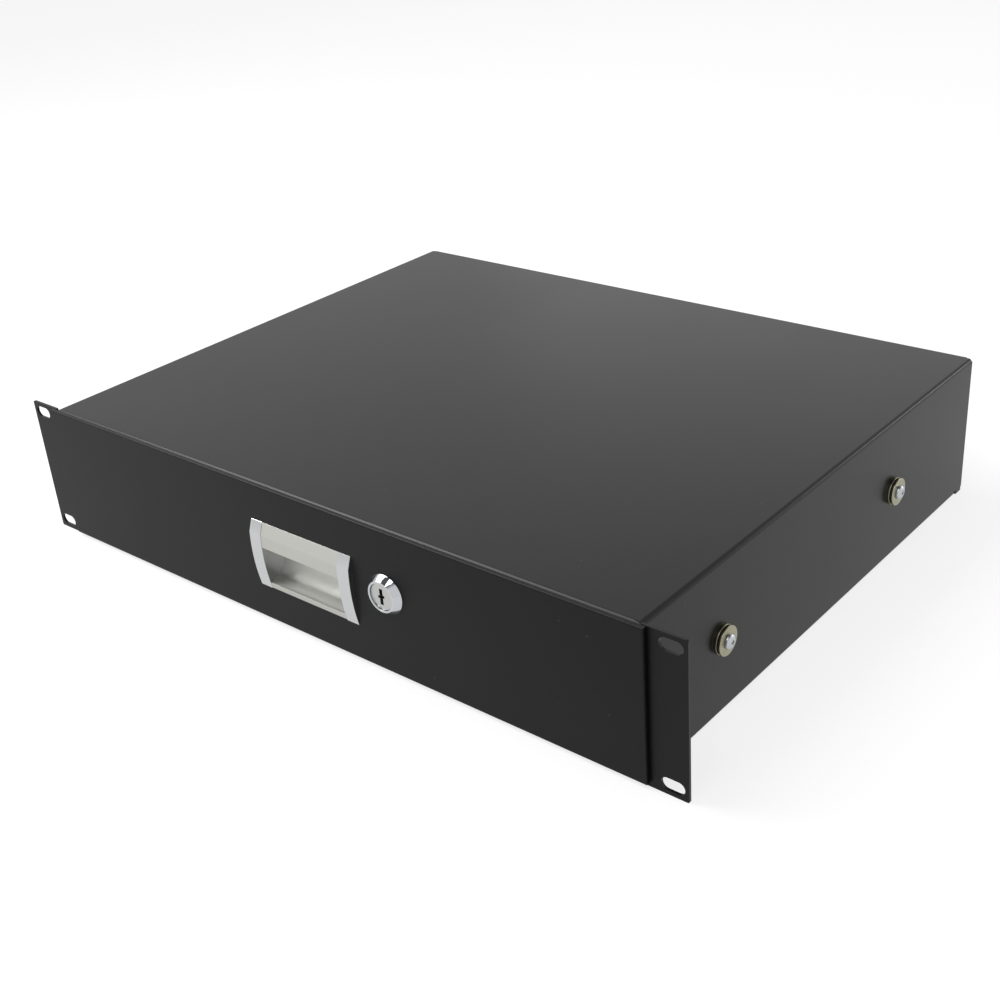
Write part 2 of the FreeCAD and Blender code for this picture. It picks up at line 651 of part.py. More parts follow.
def rail(label, side, upper, start, end):
    """A rolled rail: a channel with its ball races, the same section from end to end."""
    body = new_body(label)
    section = new_sketch(body, "XZ", "section")
    trace(section, on_side(side, folded(upper)))
    pad(body, section, "XZ", start, end, "roll")
    return body


def bend_corners(body, side, outer, inner):
    """Round a rail's two bends, outside and inside; each is (u, v) of the sharp corner."""
    for name, (u, v), radius in (("outside", outer, "rail_bend + rail_sheet"),
                                 ("inside", inner, "rail_bend")):
        x = number(signed(side, f"{SIDE} - ({u})"))
        z = (number(f"slide_z + {v}"), number(f"slide_z - {v}"))
        round_edges(body, f"{name}_bends", radius, ("Y", dict(X=(x,), Z=z)))


def make_outer_rail(side, hand):
    top = f"({OUTER_UNDER} + rail_sheet)"
    upper = [("0", top), *race("outer_ball_in", top, 1, -1, back=True), ("outer_tip", top),
             ("outer_tip", OUTER_UNDER), *race("outer_ball_in", OUTER_UNDER, -1, 1),
             ("rail_sheet", OUTER_UNDER)]
    body = rail(f"outer_rail_{hand}", side, upper, "rail_front", OUTER_END)
    bend_corners(body, side, ("0", top), ("rail_sheet", OUTER_UNDER))
    drawn = new_sketch(body, "YZ", "thread_bosses")
    holes = new_sketch(body, "YZ", "threads")
    for place in ("side_screw_first", "side_screw_first + side_screw_pitch"):
        circle(drawn, place, "slide_z", "thread_boss_radius")
        circle(holes, place, "slide_z", "side_screw_radius + hole_gap / 2")
    crown = f"{SIDE} - rail_sheet - thread_boss_height"
    pad(body, drawn, "YZ", *span(side, crown, f"{SIDE} - rail_sheet"), "bosses_pad")
    pocket(body, holes, "YZ", *span(side, crown, SIDE), "threads_cut")


def make_middle_rail(side, hand):
    upper = [("middle_web", MIDDLE_TOP), *race("outer_ball_in", MIDDLE_TOP, 1, 1),
             *race("inner_ball_in", MIDDLE_TOP, 1, -1, back=True), ("middle_tip", MIDDLE_TOP),
             ("middle_tip", MIDDLE_UNDER), *race("inner_ball_in", MIDDLE_UNDER, -1, 1),
             *race("outer_ball_in", MIDDLE_UNDER, -1, -1, back=True),
             ("middle_web + rail_sheet", MIDDLE_UNDER)]
    body = rail(f"middle_rail_{hand}", side, upper, "middle_front", CLOSED_END)
    x = number(signed(side, f"{SIDE} - middle_web"))
    z = (number(f"slide_z + {MIDDLE_TOP}"), number(f"slide_z - {MIDDLE_TOP}"))
    round_edges(body, "outside_bends", "rail_bend + rail_sheet", ("Y", dict(X=(x,), Z=z)))
    web = f"{SIDE} - middle_web - rail_sheet"
    slab(body, "stop_tab", span(side, f"{web} - stop_tab_height", web),
         ("stop_tab_front", "stop_tab_front + rail_sheet"), ("slide_z - stop_tab_wide", "slide_z"))


def make_inner_rail(side, hand):
    upper = [("slide_thick", INNER_TOP), *race("inner_ball_in", INNER_TOP, -1, -1),
             ("inner_tip", INNER_TOP), ("inner_tip", INNER_UNDER),
             *race("inner_ball_in", INNER_UNDER, 1, 1, back=True),
             ("slide_thick - rail_sheet", INNER_UNDER)]
    body = rail(f"inner_rail_{hand}", side, upper, "rail_front", CLOSED_END)
    x = number(signed(side, f"{SIDE} - slide_thick"))
    z = (number(f"slide_z + {INNER_TOP}"), number(f"slide_z - {INNER_TOP}"))
    round_edges(body, "outside_bends", "rail_bend + rail_sheet", ("Y", dict(X=(x,), Z=z)))
    holes = new_sketch(body, "YZ", "holes")
    for index in range(TRAY_SCREWS_PER_SIDE):
        circle(holes, f"rail_screw_first + {index} * rail_screw_pitch", "slide_z",
               "side_screw_radius + hole_gap / 2")
    circle(holes, "lever_pivot", "slide_z", "lever_pin_radius + hole_gap / 2")
    web = (f"{SIDE} - slide_thick", f"{SIDE} - slide_thick + rail_sheet")
    pocket(body, holes, "YZ", *span(side, *web), "holes_cut")


def make_cage(label, side, web, ball, high, front):
    """A stamped ball retainer: two strips with ball windows, joined by a bridge at each end."""
    body = new_body(label)
    section = new_sketch(body, "XZ", "section")
    tip = f"{ball} + cage_reach / 2 + ball_radius / 4"
    upper = [(web, f"({high} + cage_sheet / 2)"), (tip, f"({high} + cage_sheet / 2)"),
             (tip, f"({high} - cage_sheet / 2)"),
             (f"{web} + cage_sheet", f"({high} - cage_sheet / 2)")]
    trace(section, on_side(side, folded(upper)))
    pad(body, section, "XZ", front, f"{front} + cage_length", "strip")
    window = new_sketch(body, "YZ", "window")
    rectangle(window, (f"{front} + cage_bridge", f"{front} + cage_length - cage_bridge"),
              (f"slide_z - {high} + cage_bridge / 3", f"slide_z + {high} - cage_bridge / 3"))
    plane = (f"{SIDE} - ({web}) - cage_sheet", f"{SIDE} - ({web})")
    pocket(body, window, "YZ", *span(side, *plane), "window_cut")
    windows = new_sketch(body, "XY", "ball_windows")
    half = "(ball_radius + ball_gap)"
    for index in range(BALLS_PER_ROW):
        place = f"{front} + ball_first + {index} * ball_pitch"
        x = span(side, f"{SIDE} - {ball} - {half}", f"{SIDE} - {ball} + {half}")
        rectangle(windows, x, (f"{place} - {half}", f"{place} + {half}"))
    pocket(body, windows, "XY", f"slide_z - {high} - cage_sheet",
           f"slide_z + {high} + cage_sheet", "ball_windows_cut")


def make_balls(label, side, ball, high, front):
    """One cage's balls, upper and lower row; each is a 26-sided solid just inside the sphere."""
    body = new_body(label)
    x, y = signed(side, f"{SIDE} - {ball}"), f"({front} + ball_first)"
    flat = "(ball_radius * 0.86)"
    edge = f"({flat} * (sqrt(2) - 1))"
    octagon = [(f"-{edge}", f"-{flat}"), (edge, f"-{flat}"), (flat, f"-{edge}"), (flat, edge),
               (edge, flat), (f"-{edge}", flat), (f"-{flat}", edge), (f"-{flat}", f"-{edge}")]
    sketch = new_sketch(body, "XY", "octagon")
    trace(sketch, [(f"{x} + {a}", f"{y} + {b}") for a, b in octagon])
    middle = f"slide_z - {high}"
    pad(body, sketch, "XY", f"{middle} - {flat}", f"{middle} + {flat}", "drum")
    base = body.Tip
    ends = (number(f"{middle} - {flat}"), number(f"{middle} + {flat}"))
    rims = [f"Edge{index}" for index, rim in enumerate(base.Shape.Edges, start=1)
            if any(abs(rim.CenterOfMass.z - end) < 1e-4 for end in ends)]
    chamfer = body.newObject("PartDesign::Chamfer", f"{label}_facets")
    chamfer.Base = (base, rims)
    chamfer.setExpression("Size", bound(f"{flat} * (2 - sqrt(2))"))
    doc.recompute()
    row_of(body, "rows", "Y", f"{BALLS_PER_ROW - 1} * ball_pitch", BALLS_PER_ROW,
           second=("Z", f"2 * {high}", 2))


def make_rear_bumpers():
    """Moulded plugs in the back of the outer rails; the closed middle rails stop on them."""
    body = new_body("rear_bumpers")
    start = f"{CLOSED_END} + bumper_gap"
    slab(body, "plug", (f"{SIDE} - bumper_in", f"{SIDE} - rail_sheet"),
         (start, f"{start} + bumper_length"),
         (f"slide_z - {OUTER_UNDER}", f"slide_z + {OUTER_UNDER}"))
    x = number(f"{SIDE} - rail_sheet")
    z = (number(f"slide_z + {OUTER_UNDER}"), number(f"slide_z - {OUTER_UNDER}"))
    round_edges(body, "corners", "rail_bend", ("Y", dict(X=(x,), Z=z)))
    mirrored(body, "both_sides")


# --- side screws -------------------------------------------------------------------------------

def on_both_walls(body):
    """Repeat a side fastener at the rear screw and on the other wall."""
    row_of(body, "row", "Y", "side_screw_pitch", 2)
    mirrored(body, "both_sides")


def make_washer(label, start, radius, thick):
    """A flat ring on each side screw, from start outwards along X."""
    body = new_body(label)
    hole = "side_screw_radius + hole_gap"
    turned(body, "ring", "XY", {"y": "side_screw_first", "z": "slide_z"}, "H_Axis",
           [(start, hole), (start, radius), (f"{start} + {thick}", radius),
            (f"{start} + {thick}", hole)])
    on_both_walls(body)


def make_side_screws():
    """Pan head screws through the washers and the wall into the outer rails."""
    body = new_body("side_screws")
    seat = f"({HALF} + 2 * washer_thick + ring_thick)"
    tip = f"({SIDE} - rail_sheet - thread_boss_height)"
    turned(body, "screw", "XY", {"y": "side_screw_first", "z": "slide_z"}, "H_Axis",
           [(tip, "0"), (tip, "side_screw_radius"), (seat, "side_screw_radius"),
            (seat, "pan_head_radius"), (f"{seat} + pan_head_height", "pan_head_radius"),
            (f"{seat} + pan_head_height", "0")])
    for name, wide, high in (("slot_upright", "recess_wide", "recess_long"),
                             ("slot_level", "recess_long", "recess_wide")):
        sketch = new_sketch(body, "YZ", name)
        rectangle(sketch, (f"side_screw_first - {wide} / 2", f"side_screw_first + {wide} / 2"),
                  (f"slide_z - {high} / 2", f"slide_z + {high} / 2"))
        top = f"{seat} + pan_head_height"
        pocket(body, sketch, "YZ", f"{top} - recess_deep", top, f"{name}_cut")
    on_both_walls(body)


# --- drawer tray and front panel ---------------------------------------------------------------

def handle_cutout(body, name, low, high):
    """The handle pocket's window, the holes of its two bosses and the lock's double-D hole."""
    window = new_sketch(body, "XZ", name + "_window")
    reach = "(grip_length / 2 + cap_end_plate + cutout_gap)"
    rectangle(window, (f"-{reach}", reach),
              (f"handle_z + pocket_low - grip_wall - cutout_gap",
               f"handle_z + pocket_top + grip_wall + cutout_gap"))
    pocket(body, window, "XZ", low, high, name + "_window_cut")
    round_holes = new_sketch(body, "XZ", name + "_round_holes")
    for side in (1, -1):
        circle(round_holes, signed(side, BOSS_X), "handle_z", "boss_radius + hole_gap")
    pocket(body, round_holes, "XZ", low, high, name + "_round_holes_cut")
    lock_hole = new_sketch(body, "XZ", name + "_lock_hole")
    radius = "(barrel_radius + hole_gap)"
    flat = "(barrel_flats / 2 + hole_gap)"
    reach = f"sqrt({radius}^2 - {flat}^2)"
    trace(lock_hole, [(f"lock_x + {reach}", f"lock_z - {flat}", radius, 1),
                      (f"lock_x + {reach}", f"lock_z + {flat}"),
                      (f"lock_x - {reach}", f"lock_z + {flat}", radius, 1),
                      (f"lock_x - {reach}", f"lock_z - {flat}")])
    pocket(body, lock_hole, "XZ", low, high, name + "_lock_hole_cut")


BOSS_X = "(grip_length / 2 + cap_end_plate + cutout_gap + hole_gap + boss_radius + 0.2)"


def stud_places():
    for side in (1, -1):
        for up in ("0", "stud_pitch"):
            yield signed(side, "stud_across"), f"{FLOOR} + stud_low + {up}"


def make_drawer_tray():
    """A folded tray, welded up its corners, with a rim turned in along the sides and back."""
    body = new_body("drawer_tray")
    back = f"({REAR} - tray_rear_gap)"
    slab(body, "block", (f"-{TRAY_HALF}", TRAY_HALF), (PANEL_BACK, back), (TRAY_LOW, TRAY_TOP))
    y = (number(PANEL_BACK), number(back))
    round_edges(body, "outer_bends", "tray_bend + tray_sheet",
                ("X", dict(Y=y, Z=(number(TRAY_LOW),))),
                ("Y", dict(X=both(TRAY_HALF), Z=(number(TRAY_LOW),))))
    inside = f"({TRAY_HALF} - tray_sheet)"
    cavity = (WALL_BACK, f"{back} - tray_sheet")
    cut_box(body, "cavity", (f"-{inside}", inside), cavity, (f"{TRAY_LOW} + tray_sheet", TRAY_TOP))
    y, z = tuple(number(text) for text in cavity), (number(f"{TRAY_LOW} + tray_sheet"),)
    round_edges(body, "inner_bends", "tray_bend",
                ("X", dict(Y=y, Z=z)), ("Y", dict(X=both(inside), Z=z)))
    rim = (f"{TRAY_TOP} - tray_sheet", TRAY_TOP)
    ends = (f"{PANEL_BACK} + tray_sheet + tray_bend + tray_flange",
            f"{back} - tray_sheet - tray_bend - tray_flange")
    for side, hand in ((1, "right"), (-1, "left")):
        slab(body, f"rim_{hand}", span(side, f"{TRAY_HALF} - tray_flange", TRAY_HALF), ends, rim)
    inner = f"({TRAY_HALF} - tray_sheet - tray_bend - tray_flange)"
    slab(body, "rim_back", (f"-{inner}", inner), (f"{back} - tray_flange", back), rim)
    handle_cutout(body, "front", PANEL_BACK, WALL_BACK)
    studs = new_sketch(body, "XZ", "stud_holes")
    for x, z in stud_places():
        circle(studs, x, z, "stud_radius + hole_gap")
    pocket(body, studs, "XZ", PANEL_BACK, WALL_BACK, "stud_holes_cut")
    for side, hand in ((1, "right"), (-1, "left")):
        holes = new_sketch(body, "YZ", f"rail_holes_{hand}")
        for index in range(TRAY_SCREWS_PER_SIDE):
            circle(holes, f"rail_screw_first + {index} * rail_screw_pitch", "slide_z",
                   "side_screw_radius + hole_gap")
        wall = span(side, f"{TRAY_HALF} - tray_sheet", TRAY_HALF)
        pocket(body, holes, "YZ", *wall, f"rail_holes_{hand}_cut")


def make_front_panel():
    """A shallow folded pan with mitred corners and welded studs on its back."""
    body = new_body("front_panel")
    top = "(panel_top - ear_height / 2)"
    low = f"({top} - panel_height)"
    edge = f"{FRONT} - panel_gap"
    slab(body, "block", ("-panel_width / 2", "panel_width / 2"), (FACE, edge), (low, top))
    x, z = both("panel_width / 2"), (number(low), number(top))
    round_edges(body, "folds", "panel_edge",
                ("X", dict(Y=(number(FACE),), Z=z)),
                ("Z", dict(X=x, Y=(number(FACE),))))
    inside, floor = "(panel_width / 2 - panel_sheet)", (f"{low} + panel_sheet", f"{top} - panel_sheet")
    cut_box(body, "hollow", (f"-{inside}", inside), (PANEL_BACK, edge), floor)
    studs = new_sketch(body, "XZ", "studs")
    for place_x, place_z in stud_places():
        circle(studs, place_x, place_z, "stud_radius")
    pad(body, studs, "XZ", PANEL_BACK, f"{PANEL_BACK} + stud_length", "studs_pad")
    handle_cutout(body, "front", FACE, PANEL_BACK)


def make_panel_nuts():
    """Nuts on the panel's studs, inside the tray."""
    body = new_body("panel_nuts")
    sketch = new_sketch(body, "XZ", "nut")
    hexagon(sketch, "stud_across", f"{FLOOR} + stud_low", "nut_flats")
    circle(sketch, "stud_across", f"{FLOOR} + stud_low", "stud_radius + hole_gap / 2")
    pad(body, sketch, "XZ", WALL_BACK, f"{WALL_BACK} + nut_height", "nut_pad")
    row_of(body, "row", "Z", "stud_pitch", 2)
    mirrored(body, "both_sides")


def make_tray_screws():
    """Pan head screws from inside the tray into the inner rails' threaded holes."""
    body = new_body("tray_screws")
    seat = f"({TRAY_HALF} - tray_sheet)"
    head, tip = f"({seat} - pan_head_height)", f"({seat} + tray_screw_length)"
    turned(body, "screw", "XY", {"y": "rail_screw_first", "z": "slide_z"}, "H_Axis",
           [(head, "0"), (head, "pan_head_radius"), (seat, "pan_head_radius"),
            (seat, "side_screw_radius"), (tip, "side_screw_radius"), (tip, "0")])
    row_of(body, "row", "Y", f"{TRAY_SCREWS_PER_SIDE - 1} * rail_screw_pitch",
           TRAY_SCREWS_PER_SIDE)
    mirrored(body, "both_sides")


# --- pull handle -------------------------------------------------------------------------------
# Seen from the side, q is measured back from the panel's face and w up from the handle's centre.

def arch(w, inset="0"):
    """Distance of the arched face from the panel at height w, as a negative q."""
    rise = f"sqrt(arch_radius^2 - (({w}) - arch_crest)^2)"
    return f"(arch_radius - handle_bulge - {rise} + {inset})"


def from_side(corners):
    return [(f"{FACE} + {q}", f"handle_z + ({w})", *arc) for q, w, *arc in corners]


def make_handle_grip():
    """The extrusion: arched face plate, scooped pocket and lower lip in one section."""
    body = new_body("handle_grip")
    section = new_sketch(body, "YZ", "section")
    top = "(handle_height / 2 - grip_inset)"
    plate = arch("plate_edge", "grip_inset")
    lip = "(pocket_low - grip_inset)"
    trace(section, from_side([
        ("0", top), ("-cap_rim + grip_inset", top),
        (arch("facet_from", "grip_inset"), "facet_from", "arch_radius", 1),
        (plate, "plate_edge"), (f"{plate} + grip_wall", "plate_edge"),
        (f"{plate} + grip_wall", "pocket_top"), ("pocket_depth", "pocket_top"),
        ("pocket_depth", "pocket_back"), ("grip_wall", "pocket_low"),
        (arch(lip, "grip_inset"), lip, "arch_radius", 1),
        (arch(f"-{top}", "grip_inset"), f"-{top}"), ("0", f"-{top}"),
        ("0", "pocket_low - grip_wall"), ("grip_wall", "pocket_low - grip_wall"),
        ("pocket_depth + grip_wall", "pocket_back - grip_wall"),
        ("pocket_depth + grip_wall", "pocket_top + grip_wall"),
        ("0", "pocket_top + grip_wall")]))
    pad(body, section, "YZ", "-grip_length / 2", "grip_length / 2", "extrusion")
    inner_y, outer_y = number(f"{FACE} + pocket_depth"), number(f"{FACE} + pocket_depth + grip_wall")
    low = number("handle_z + pocket_back")
    round_edges(body, "scoop", "pocket_round", ("X", dict(Y=(inner_y,), Z=(low,))))
    round_edges(body, "scoop_back", "pocket_round + grip_wall",
                ("X", dict(Y=(outer_y,), Z=(number("handle_z + pocket_back - grip_wall"),))))
    edge_y = (number(f"{FACE} + {plate}"), number(f"{FACE} + {plate} + grip_wall"))
    round_edges(body, "soft_edges", "grip_wall * 0.4",
                ("X", dict(Y=edge_y, Z=(number("handle_z + plate_edge"),))),
                ("X", dict(Y=(number(f"{FACE} + {arch(lip, 'grip_inset')}"),),
                           Z=(number(f"handle_z + {lip}"),))))


def make_handle_cap(side, hand):
    """A plated end cap: arched front, plate that closes the pocket and a fixing boss."""
    body = new_body(f"handle_cap_{hand}")
    front = new_sketch(body, "YZ", "front")
    top = "handle_height / 2"
    trace(front, from_side([
        ("0", top), ("-cap_rim", top),
        (arch("facet_from"), "facet_from", "arch_radius", 1),
        (arch(f"-{top}"), f"-{top}"), ("0", f"-{top}")]))
    pad(body, front, "YZ", *span(side, "grip_length / 2", "handle_width / 2"), "front_pad")
    plate = new_sketch(body, "YZ", "end_plate")
    trace(plate, from_side([
        ("0", "pocket_top + grip_wall"), ("0", "pocket_low - grip_wall"),
        ("grip_wall", "pocket_low - grip_wall"),
        ("pocket_depth + grip_wall", "pocket_back - grip_wall"),
        ("pocket_depth + grip_wall", "pocket_top + grip_wall")]))
    pad(body, plate, "YZ", *span(side, "grip_length / 2", "grip_length / 2 + cap_end_plate"),
        "end_plate_pad")
    round_edges(body, "plate_corner", "pocket_round + grip_wall",
                ("X", dict(Y=(number(f"{FACE} + pocket_depth + grip_wall"),),
                           Z=(number("handle_z + pocket_back - grip_wall"),))))
    end = f"({WALL_BACK} - boss_short)"
    boss = new_sketch(body, "XZ", "boss")
    circle(boss, signed(side, BOSS_X), "handle_z", "boss_radius")
    pad(body, boss, "XZ", FACE, end, "boss_pad")
    hole = new_sketch(body, "XZ", "screw_hole")
    circle(hole, signed(side, BOSS_X), "handle_z", "handle_screw_radius + hole_gap / 2")
    pocket(body, hole, "XZ", f"{WALL_BACK} - handle_screw_reach - hole_gap", end,
           "screw_hole_cut")


def make_handle_screws():
    """Screws from inside the tray into the end caps' bosses."""
    body = new_body("handle_screws")
    tip = f"{WALL_BACK} - handle_screw_reach"
    turned(body, "screw", "XY", {"x": BOSS_X, "z": "handle_z"}, "V_Axis",
           [("0", tip), ("handle_screw_radius", tip), ("handle_screw_radius", WALL_BACK),
            ("handle_head_radius", WALL_BACK),
            ("handle_head_radius", f"{WALL_BACK} + handle_head_height"),
            ("0", f"{WALL_BACK} + handle_head_height")])
    mirrored(body, "both_sides")


# --- cam lock ----------------------------------------------------------------------------------
LOCK_AXIS = {"x": "lock_x", "z": "lock_z"}
PLUG_FACE = f"({FACE} - bezel_height + plug_recess)"
PLUG_END = f"({FACE} + barrel_length + plug_end_gap)"
CAM_BACK = f"({PLUG_END} + cam_thick)"


def make_lock_barrel():
    """Cone-shaped bezel and threaded body with two flats, in one casting."""
    body = new_body("lock_barrel")
    bore = "plug_radius + plug_gap"
    counterbore = "plug_head_radius + plug_gap"
    turned(body, "casting", "XY", LOCK_AXIS, "V_Axis",
           [(counterbore, f"{FACE} - bezel_height"), ("bezel_front_radius", f"{FACE} - bezel_height"),
            ("bezel_radius", f"{FACE} - bezel_rim"), ("bezel_radius", FACE),
            ("barrel_radius", FACE), ("barrel_radius", f"{FACE} + barrel_length"),
            (bore, f"{FACE} + barrel_length"), (bore, f"{FACE} - plug_head_back + plug_gap"),
            (counterbore, f"{FACE} - plug_head_back + plug_gap")])
    for name, step in (("upper", 1), ("lower", -1)):
        near, far = "barrel_flats / 2", "barrel_radius * 1.1"
        z = (near, far) if step > 0 else (f"-{far}", f"-{near}")
        cut_box(body, f"{name}_flat", ("lock_x - barrel_radius", "lock_x + barrel_radius"),
                (FACE, f"{FACE} + barrel_length"), tuple(f"lock_z + {text}" for text in z))


def make_lock_plug():
    """The turning plug with its keyway and the square that drives the cam."""
    body = new_body("lock_plug")
    turned(body, "core", "XY", LOCK_AXIS, "V_Axis",
           [("0", PLUG_FACE), ("plug_head_radius", PLUG_FACE),
            ("plug_head_radius", f"{FACE} - plug_head_back"),
            ("plug_radius", f"{FACE} - plug_head_back"), ("plug_radius", PLUG_END),
            ("0", PLUG_END)])
    end = f"{PLUG_END} + square_length"
    slab(body, "square", ("lock_x - square_half", "lock_x + square_half"), (PLUG_END, end),
         ("lock_z - square_half", "lock_z + square_half"))
    hole = new_sketch(body, "XZ", "screw_hole")
    circle(hole, "lock_x", "lock_z", "cam_screw_radius + hole_gap / 2")
    pocket(body, hole, "XZ", f"{end} - cam_screw_depth", end, "screw_hole_cut")
    keyway = new_sketch(body, "XZ", "keyway")
    wide, high, ward, arm = "key_wide / 2", "key_high / 2", "key_wide / 4", "key_arm"
    outline = [(f"-{wide}", f"-{high}"), (wide, f"-{high}"), (wide, f"-{ward}"), (arm, f"-{ward}"),
               (arm, f"{ward} * 2"), (wide, f"{ward} * 2"), (wide, high), (f"-{wide}", high),
               (f"-{wide}", ward), (f"-{arm}", ward), (f"-{arm}", f"-{ward} * 2"),
               (f"-{wide}", f"-{ward} * 2")]
    trace(keyway, [(f"lock_x + {across}", f"lock_z + {up}") for across, up in outline])
    pocket(body, keyway, "XZ", PLUG_FACE, f"{PLUG_FACE} + key_deep", "keyway_cut")


def make_lock_nut():
    """The nut that clamps the barrel to the panel and the tray's front wall."""
    body = new_body("lock_nut")
    sketch = new_sketch(body, "XZ", "nut")
    hexagon(sketch, "lock_x", "lock_z", "lock_nut_flats")
    circle(sketch, "lock_x", "lock_z", "barrel_radius + hole_gap / 2")
    pad(body, sketch, "XZ", WALL_BACK, f"{WALL_BACK} + lock_nut_height", "nut_pad")


def make_lock_cam():
    """The cranked cam on the plug's square; its tip comes forward to just behind the lip."""
    body = new_body("lock_cam")
    crank = ("lock_x + cam_crank_at", "lock_x + cam_crank_at + cam_thick")
    width = ("lock_z - cam_half_width", "lock_z + cam_half_width")
    hub = new_sketch(body, "XZ", "hub")
    circle(hub, "lock_x", "lock_z", "cam_hub_radius")
    pad(body, hub, "XZ", PLUG_END, CAM_BACK, "hub_pad")
    slab(body, "arm", ("lock_x", crank[1]), (PLUG_END, CAM_BACK), width)
    slab(body, "crank", crank, ("cam_tip_behind", CAM_BACK), width)
    slab(body, "tip", (crank[0], "lock_x + cam_reach"),
         ("cam_tip_behind", "cam_tip_behind + cam_thick"), width)
    far, back = number("lock_x + cam_reach"), number(CAM_BACK)
    round_edges(body, "tip_corners", "cam_half_width * 0.6",
                ("Y", dict(X=(far,), Z=tuple(number(text) for text in width))))
    round_edges(body, "outside_bends", "cam_thick * 1.3",
                ("Z", dict(X=(number(crank[1]),), Y=(back,))),
                ("Z", dict(X=(number(crank[0]),), Y=(number("cam_tip_behind"),))))
    fit = "(square_half + hole_gap / 2)"
    cut_box(body, "square", (f"lock_x - {fit}", f"lock_x + {fit}"), (PLUG_END, CAM_BACK),
            (f"lock_z - {fit}", f"lock_z + {fit}"))


def make_cam_screw():
    """Holds the cam on the plug."""
    body = new_body("cam_screw")
    seat = f"({PLUG_END} + square_length)"
    turned(body, "screw", "XY", LOCK_AXIS, "V_Axis",
           [("0", f"{seat} - cam_screw_depth + hole_gap"),
            ("cam_screw_radius", f"{seat} - cam_screw_depth + hole_gap"),
            ("cam_screw_radius", seat), ("cam_head_radius", seat),
            ("cam_head_radius", f"{seat} + cam_head_height"),
            ("0", f"{seat} + cam_head_height")])


# --- release levers ----------------------------------------------------------------------------

def make_release_lever(side, hand):
    """A moulded lever in the inner rail; its hook stops the drawer at the middle rail's tab."""
    body = new_body(f"release_lever_{hand}")
    hook = "(stop_tab_front + rail_sheet + travel / 2 + hook_gap)"
    front = "(lever_pivot - lever_front)"
    arm = (f"{SIDE} - lever_in - lever_thick", f"{SIDE} - lever_in")
    blade = new_sketch(body, "YZ", "blade")
    low, tail, top = "slide_z - lever_low", "slide_z + lever_tail", "slide_z + finger_height"
    trace(blade, [(front, low), (f"{hook} + hook_thick", low), (f"{hook} + hook_thick", tail),
                  ("lever_pivot", "slide_z + lever_low"),
                  (f"{front} + finger_length + lever_tail", "slide_z + lever_low"),
                  (f"{front} + finger_length", top), (front, top)])
    pad(body, blade, "YZ", *span(side, *arm), "blade_pad")
    eye = new_sketch(body, "YZ", "eye")
    circle(eye, "lever_pivot", "slide_z", "lever_boss")
    pad(body, eye, "YZ", *span(side, *arm), "eye_pad")
    slab(body, "hook", span(side, f"{SIDE} - lever_in - lever_thick", f"{SIDE} - hook_in"),
         (hook, f"{hook} + hook_thick"), ("slide_z - stop_tab_wide + lever_tab_gap", tail))
    slab(body, "finger_rib", span(side, f"{SIDE} - lever_in", f"{SIDE} - inner_tip + finger_rib_reach"),
         (front, f"{front} + finger_rib_length"), (tail, top))
    hole = new_sketch(body, "YZ", "pin_hole")
    circle(hole, "lever_pivot", "slide_z", "lever_pin_radius + lever_pin_gap")
    pocket(body, hole, "YZ", *span(side, *arm), "pin_hole_cut")


def make_lever_pins():
    """Rivets in the inner rails that the release levers turn on."""
    body = new_body("lever_pins")
    root = f"({SIDE} - slide_thick)"
    seat = f"({SIDE} - lever_in + hole_gap)"
    turned(body, "rivet", "XY", {"y": "lever_pivot", "z": "slide_z"}, "H_Axis",
           [(root, "0"), (root, "lever_pin_radius"), (seat, "lever_pin_radius"),
            (seat, "lever_head_radius"), (f"{seat} + lever_head_height", "lever_head_radius"),
            (f"{seat} + lever_head_height", "0")])
    mirrored(body, "both_sides")


# --- assembly ----------------------------------------------------------------------------------

make_top_cover()
make_base_plate()
make_base_screws()
for side, hand in ((1, "right"), (-1, "left")):
    make_outer_rail(side, hand)
    make_middle_rail(side, hand)
    make_inner_rail(side, hand)
    outer_web, inner_web = "(rail_sheet + cage_clear)", "(middle_web + rail_sheet + cage_clear)"
    make_cage(f"outer_cage_{hand}", side, outer_web, "outer_ball_in", "outer_ball_high",
              "outer_cage_front")
    make_cage(f"inner_cage_{hand}", side, inner_web, "inner_ball_in", INNER_BALL_HIGH,
              "inner_cage_front")
    make_balls(f"outer_balls_{hand}", side, "outer_ball_in", "outer_ball_high",
               "outer_cage_front")
    make_balls(f"inner_balls_{hand}", side, "inner_ball_in", INNER_BALL_HIGH,
               "inner_cage_front")
    make_release_lever(side, hand)
make_lever_pins()
make_rear_bumpers()
make_washer("inner_washers", HALF, "washer_radius", "washer_thick")
make_washer("rubber_rings", f"({HALF} + washer_thick)", "ring_radius", "ring_thick")
make_washer("outer_washers", f"({HALF} + washer_thick + ring_thick)", "washer_radius",
            "washer_thick")
make_side_screws()
make_drawer_tray()
make_tray_screws()
make_front_panel()
make_panel_nuts()
make_handle_grip()
for side, hand in ((1, "right"), (-1, "left")):
    make_handle_cap(side, hand)
make_handle_screws()
make_lock_barrel()
make_lock_nut()
make_lock_plug()
make_lock_cam()
make_cam_screw()

doc.recompute()
for item in doc.Objects:
    if "Invalid" in item.State or "Error" in item.State:
        raise RuntimeError(f"{item.Name} did not recompute: {item.State}")
for body in subparts:
    if body.Shape.isNull() or not body.Shape.isValid():
        raise RuntimeError(f"{body.Label} has no valid shape")

os.makedirs("parts", exist_ok=True)
for body in subparts:
    body.Shape.exportStep(f"parts/{body.Label}.step")
    print(body.Label, len(body.Shape.Solids), round(body.Shape.Volume, 1))
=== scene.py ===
"""Looks of the sliding rack drawer: finishes and fine detail over the fixed CAD frame."""

import json
from math import pi, radians, sqrt

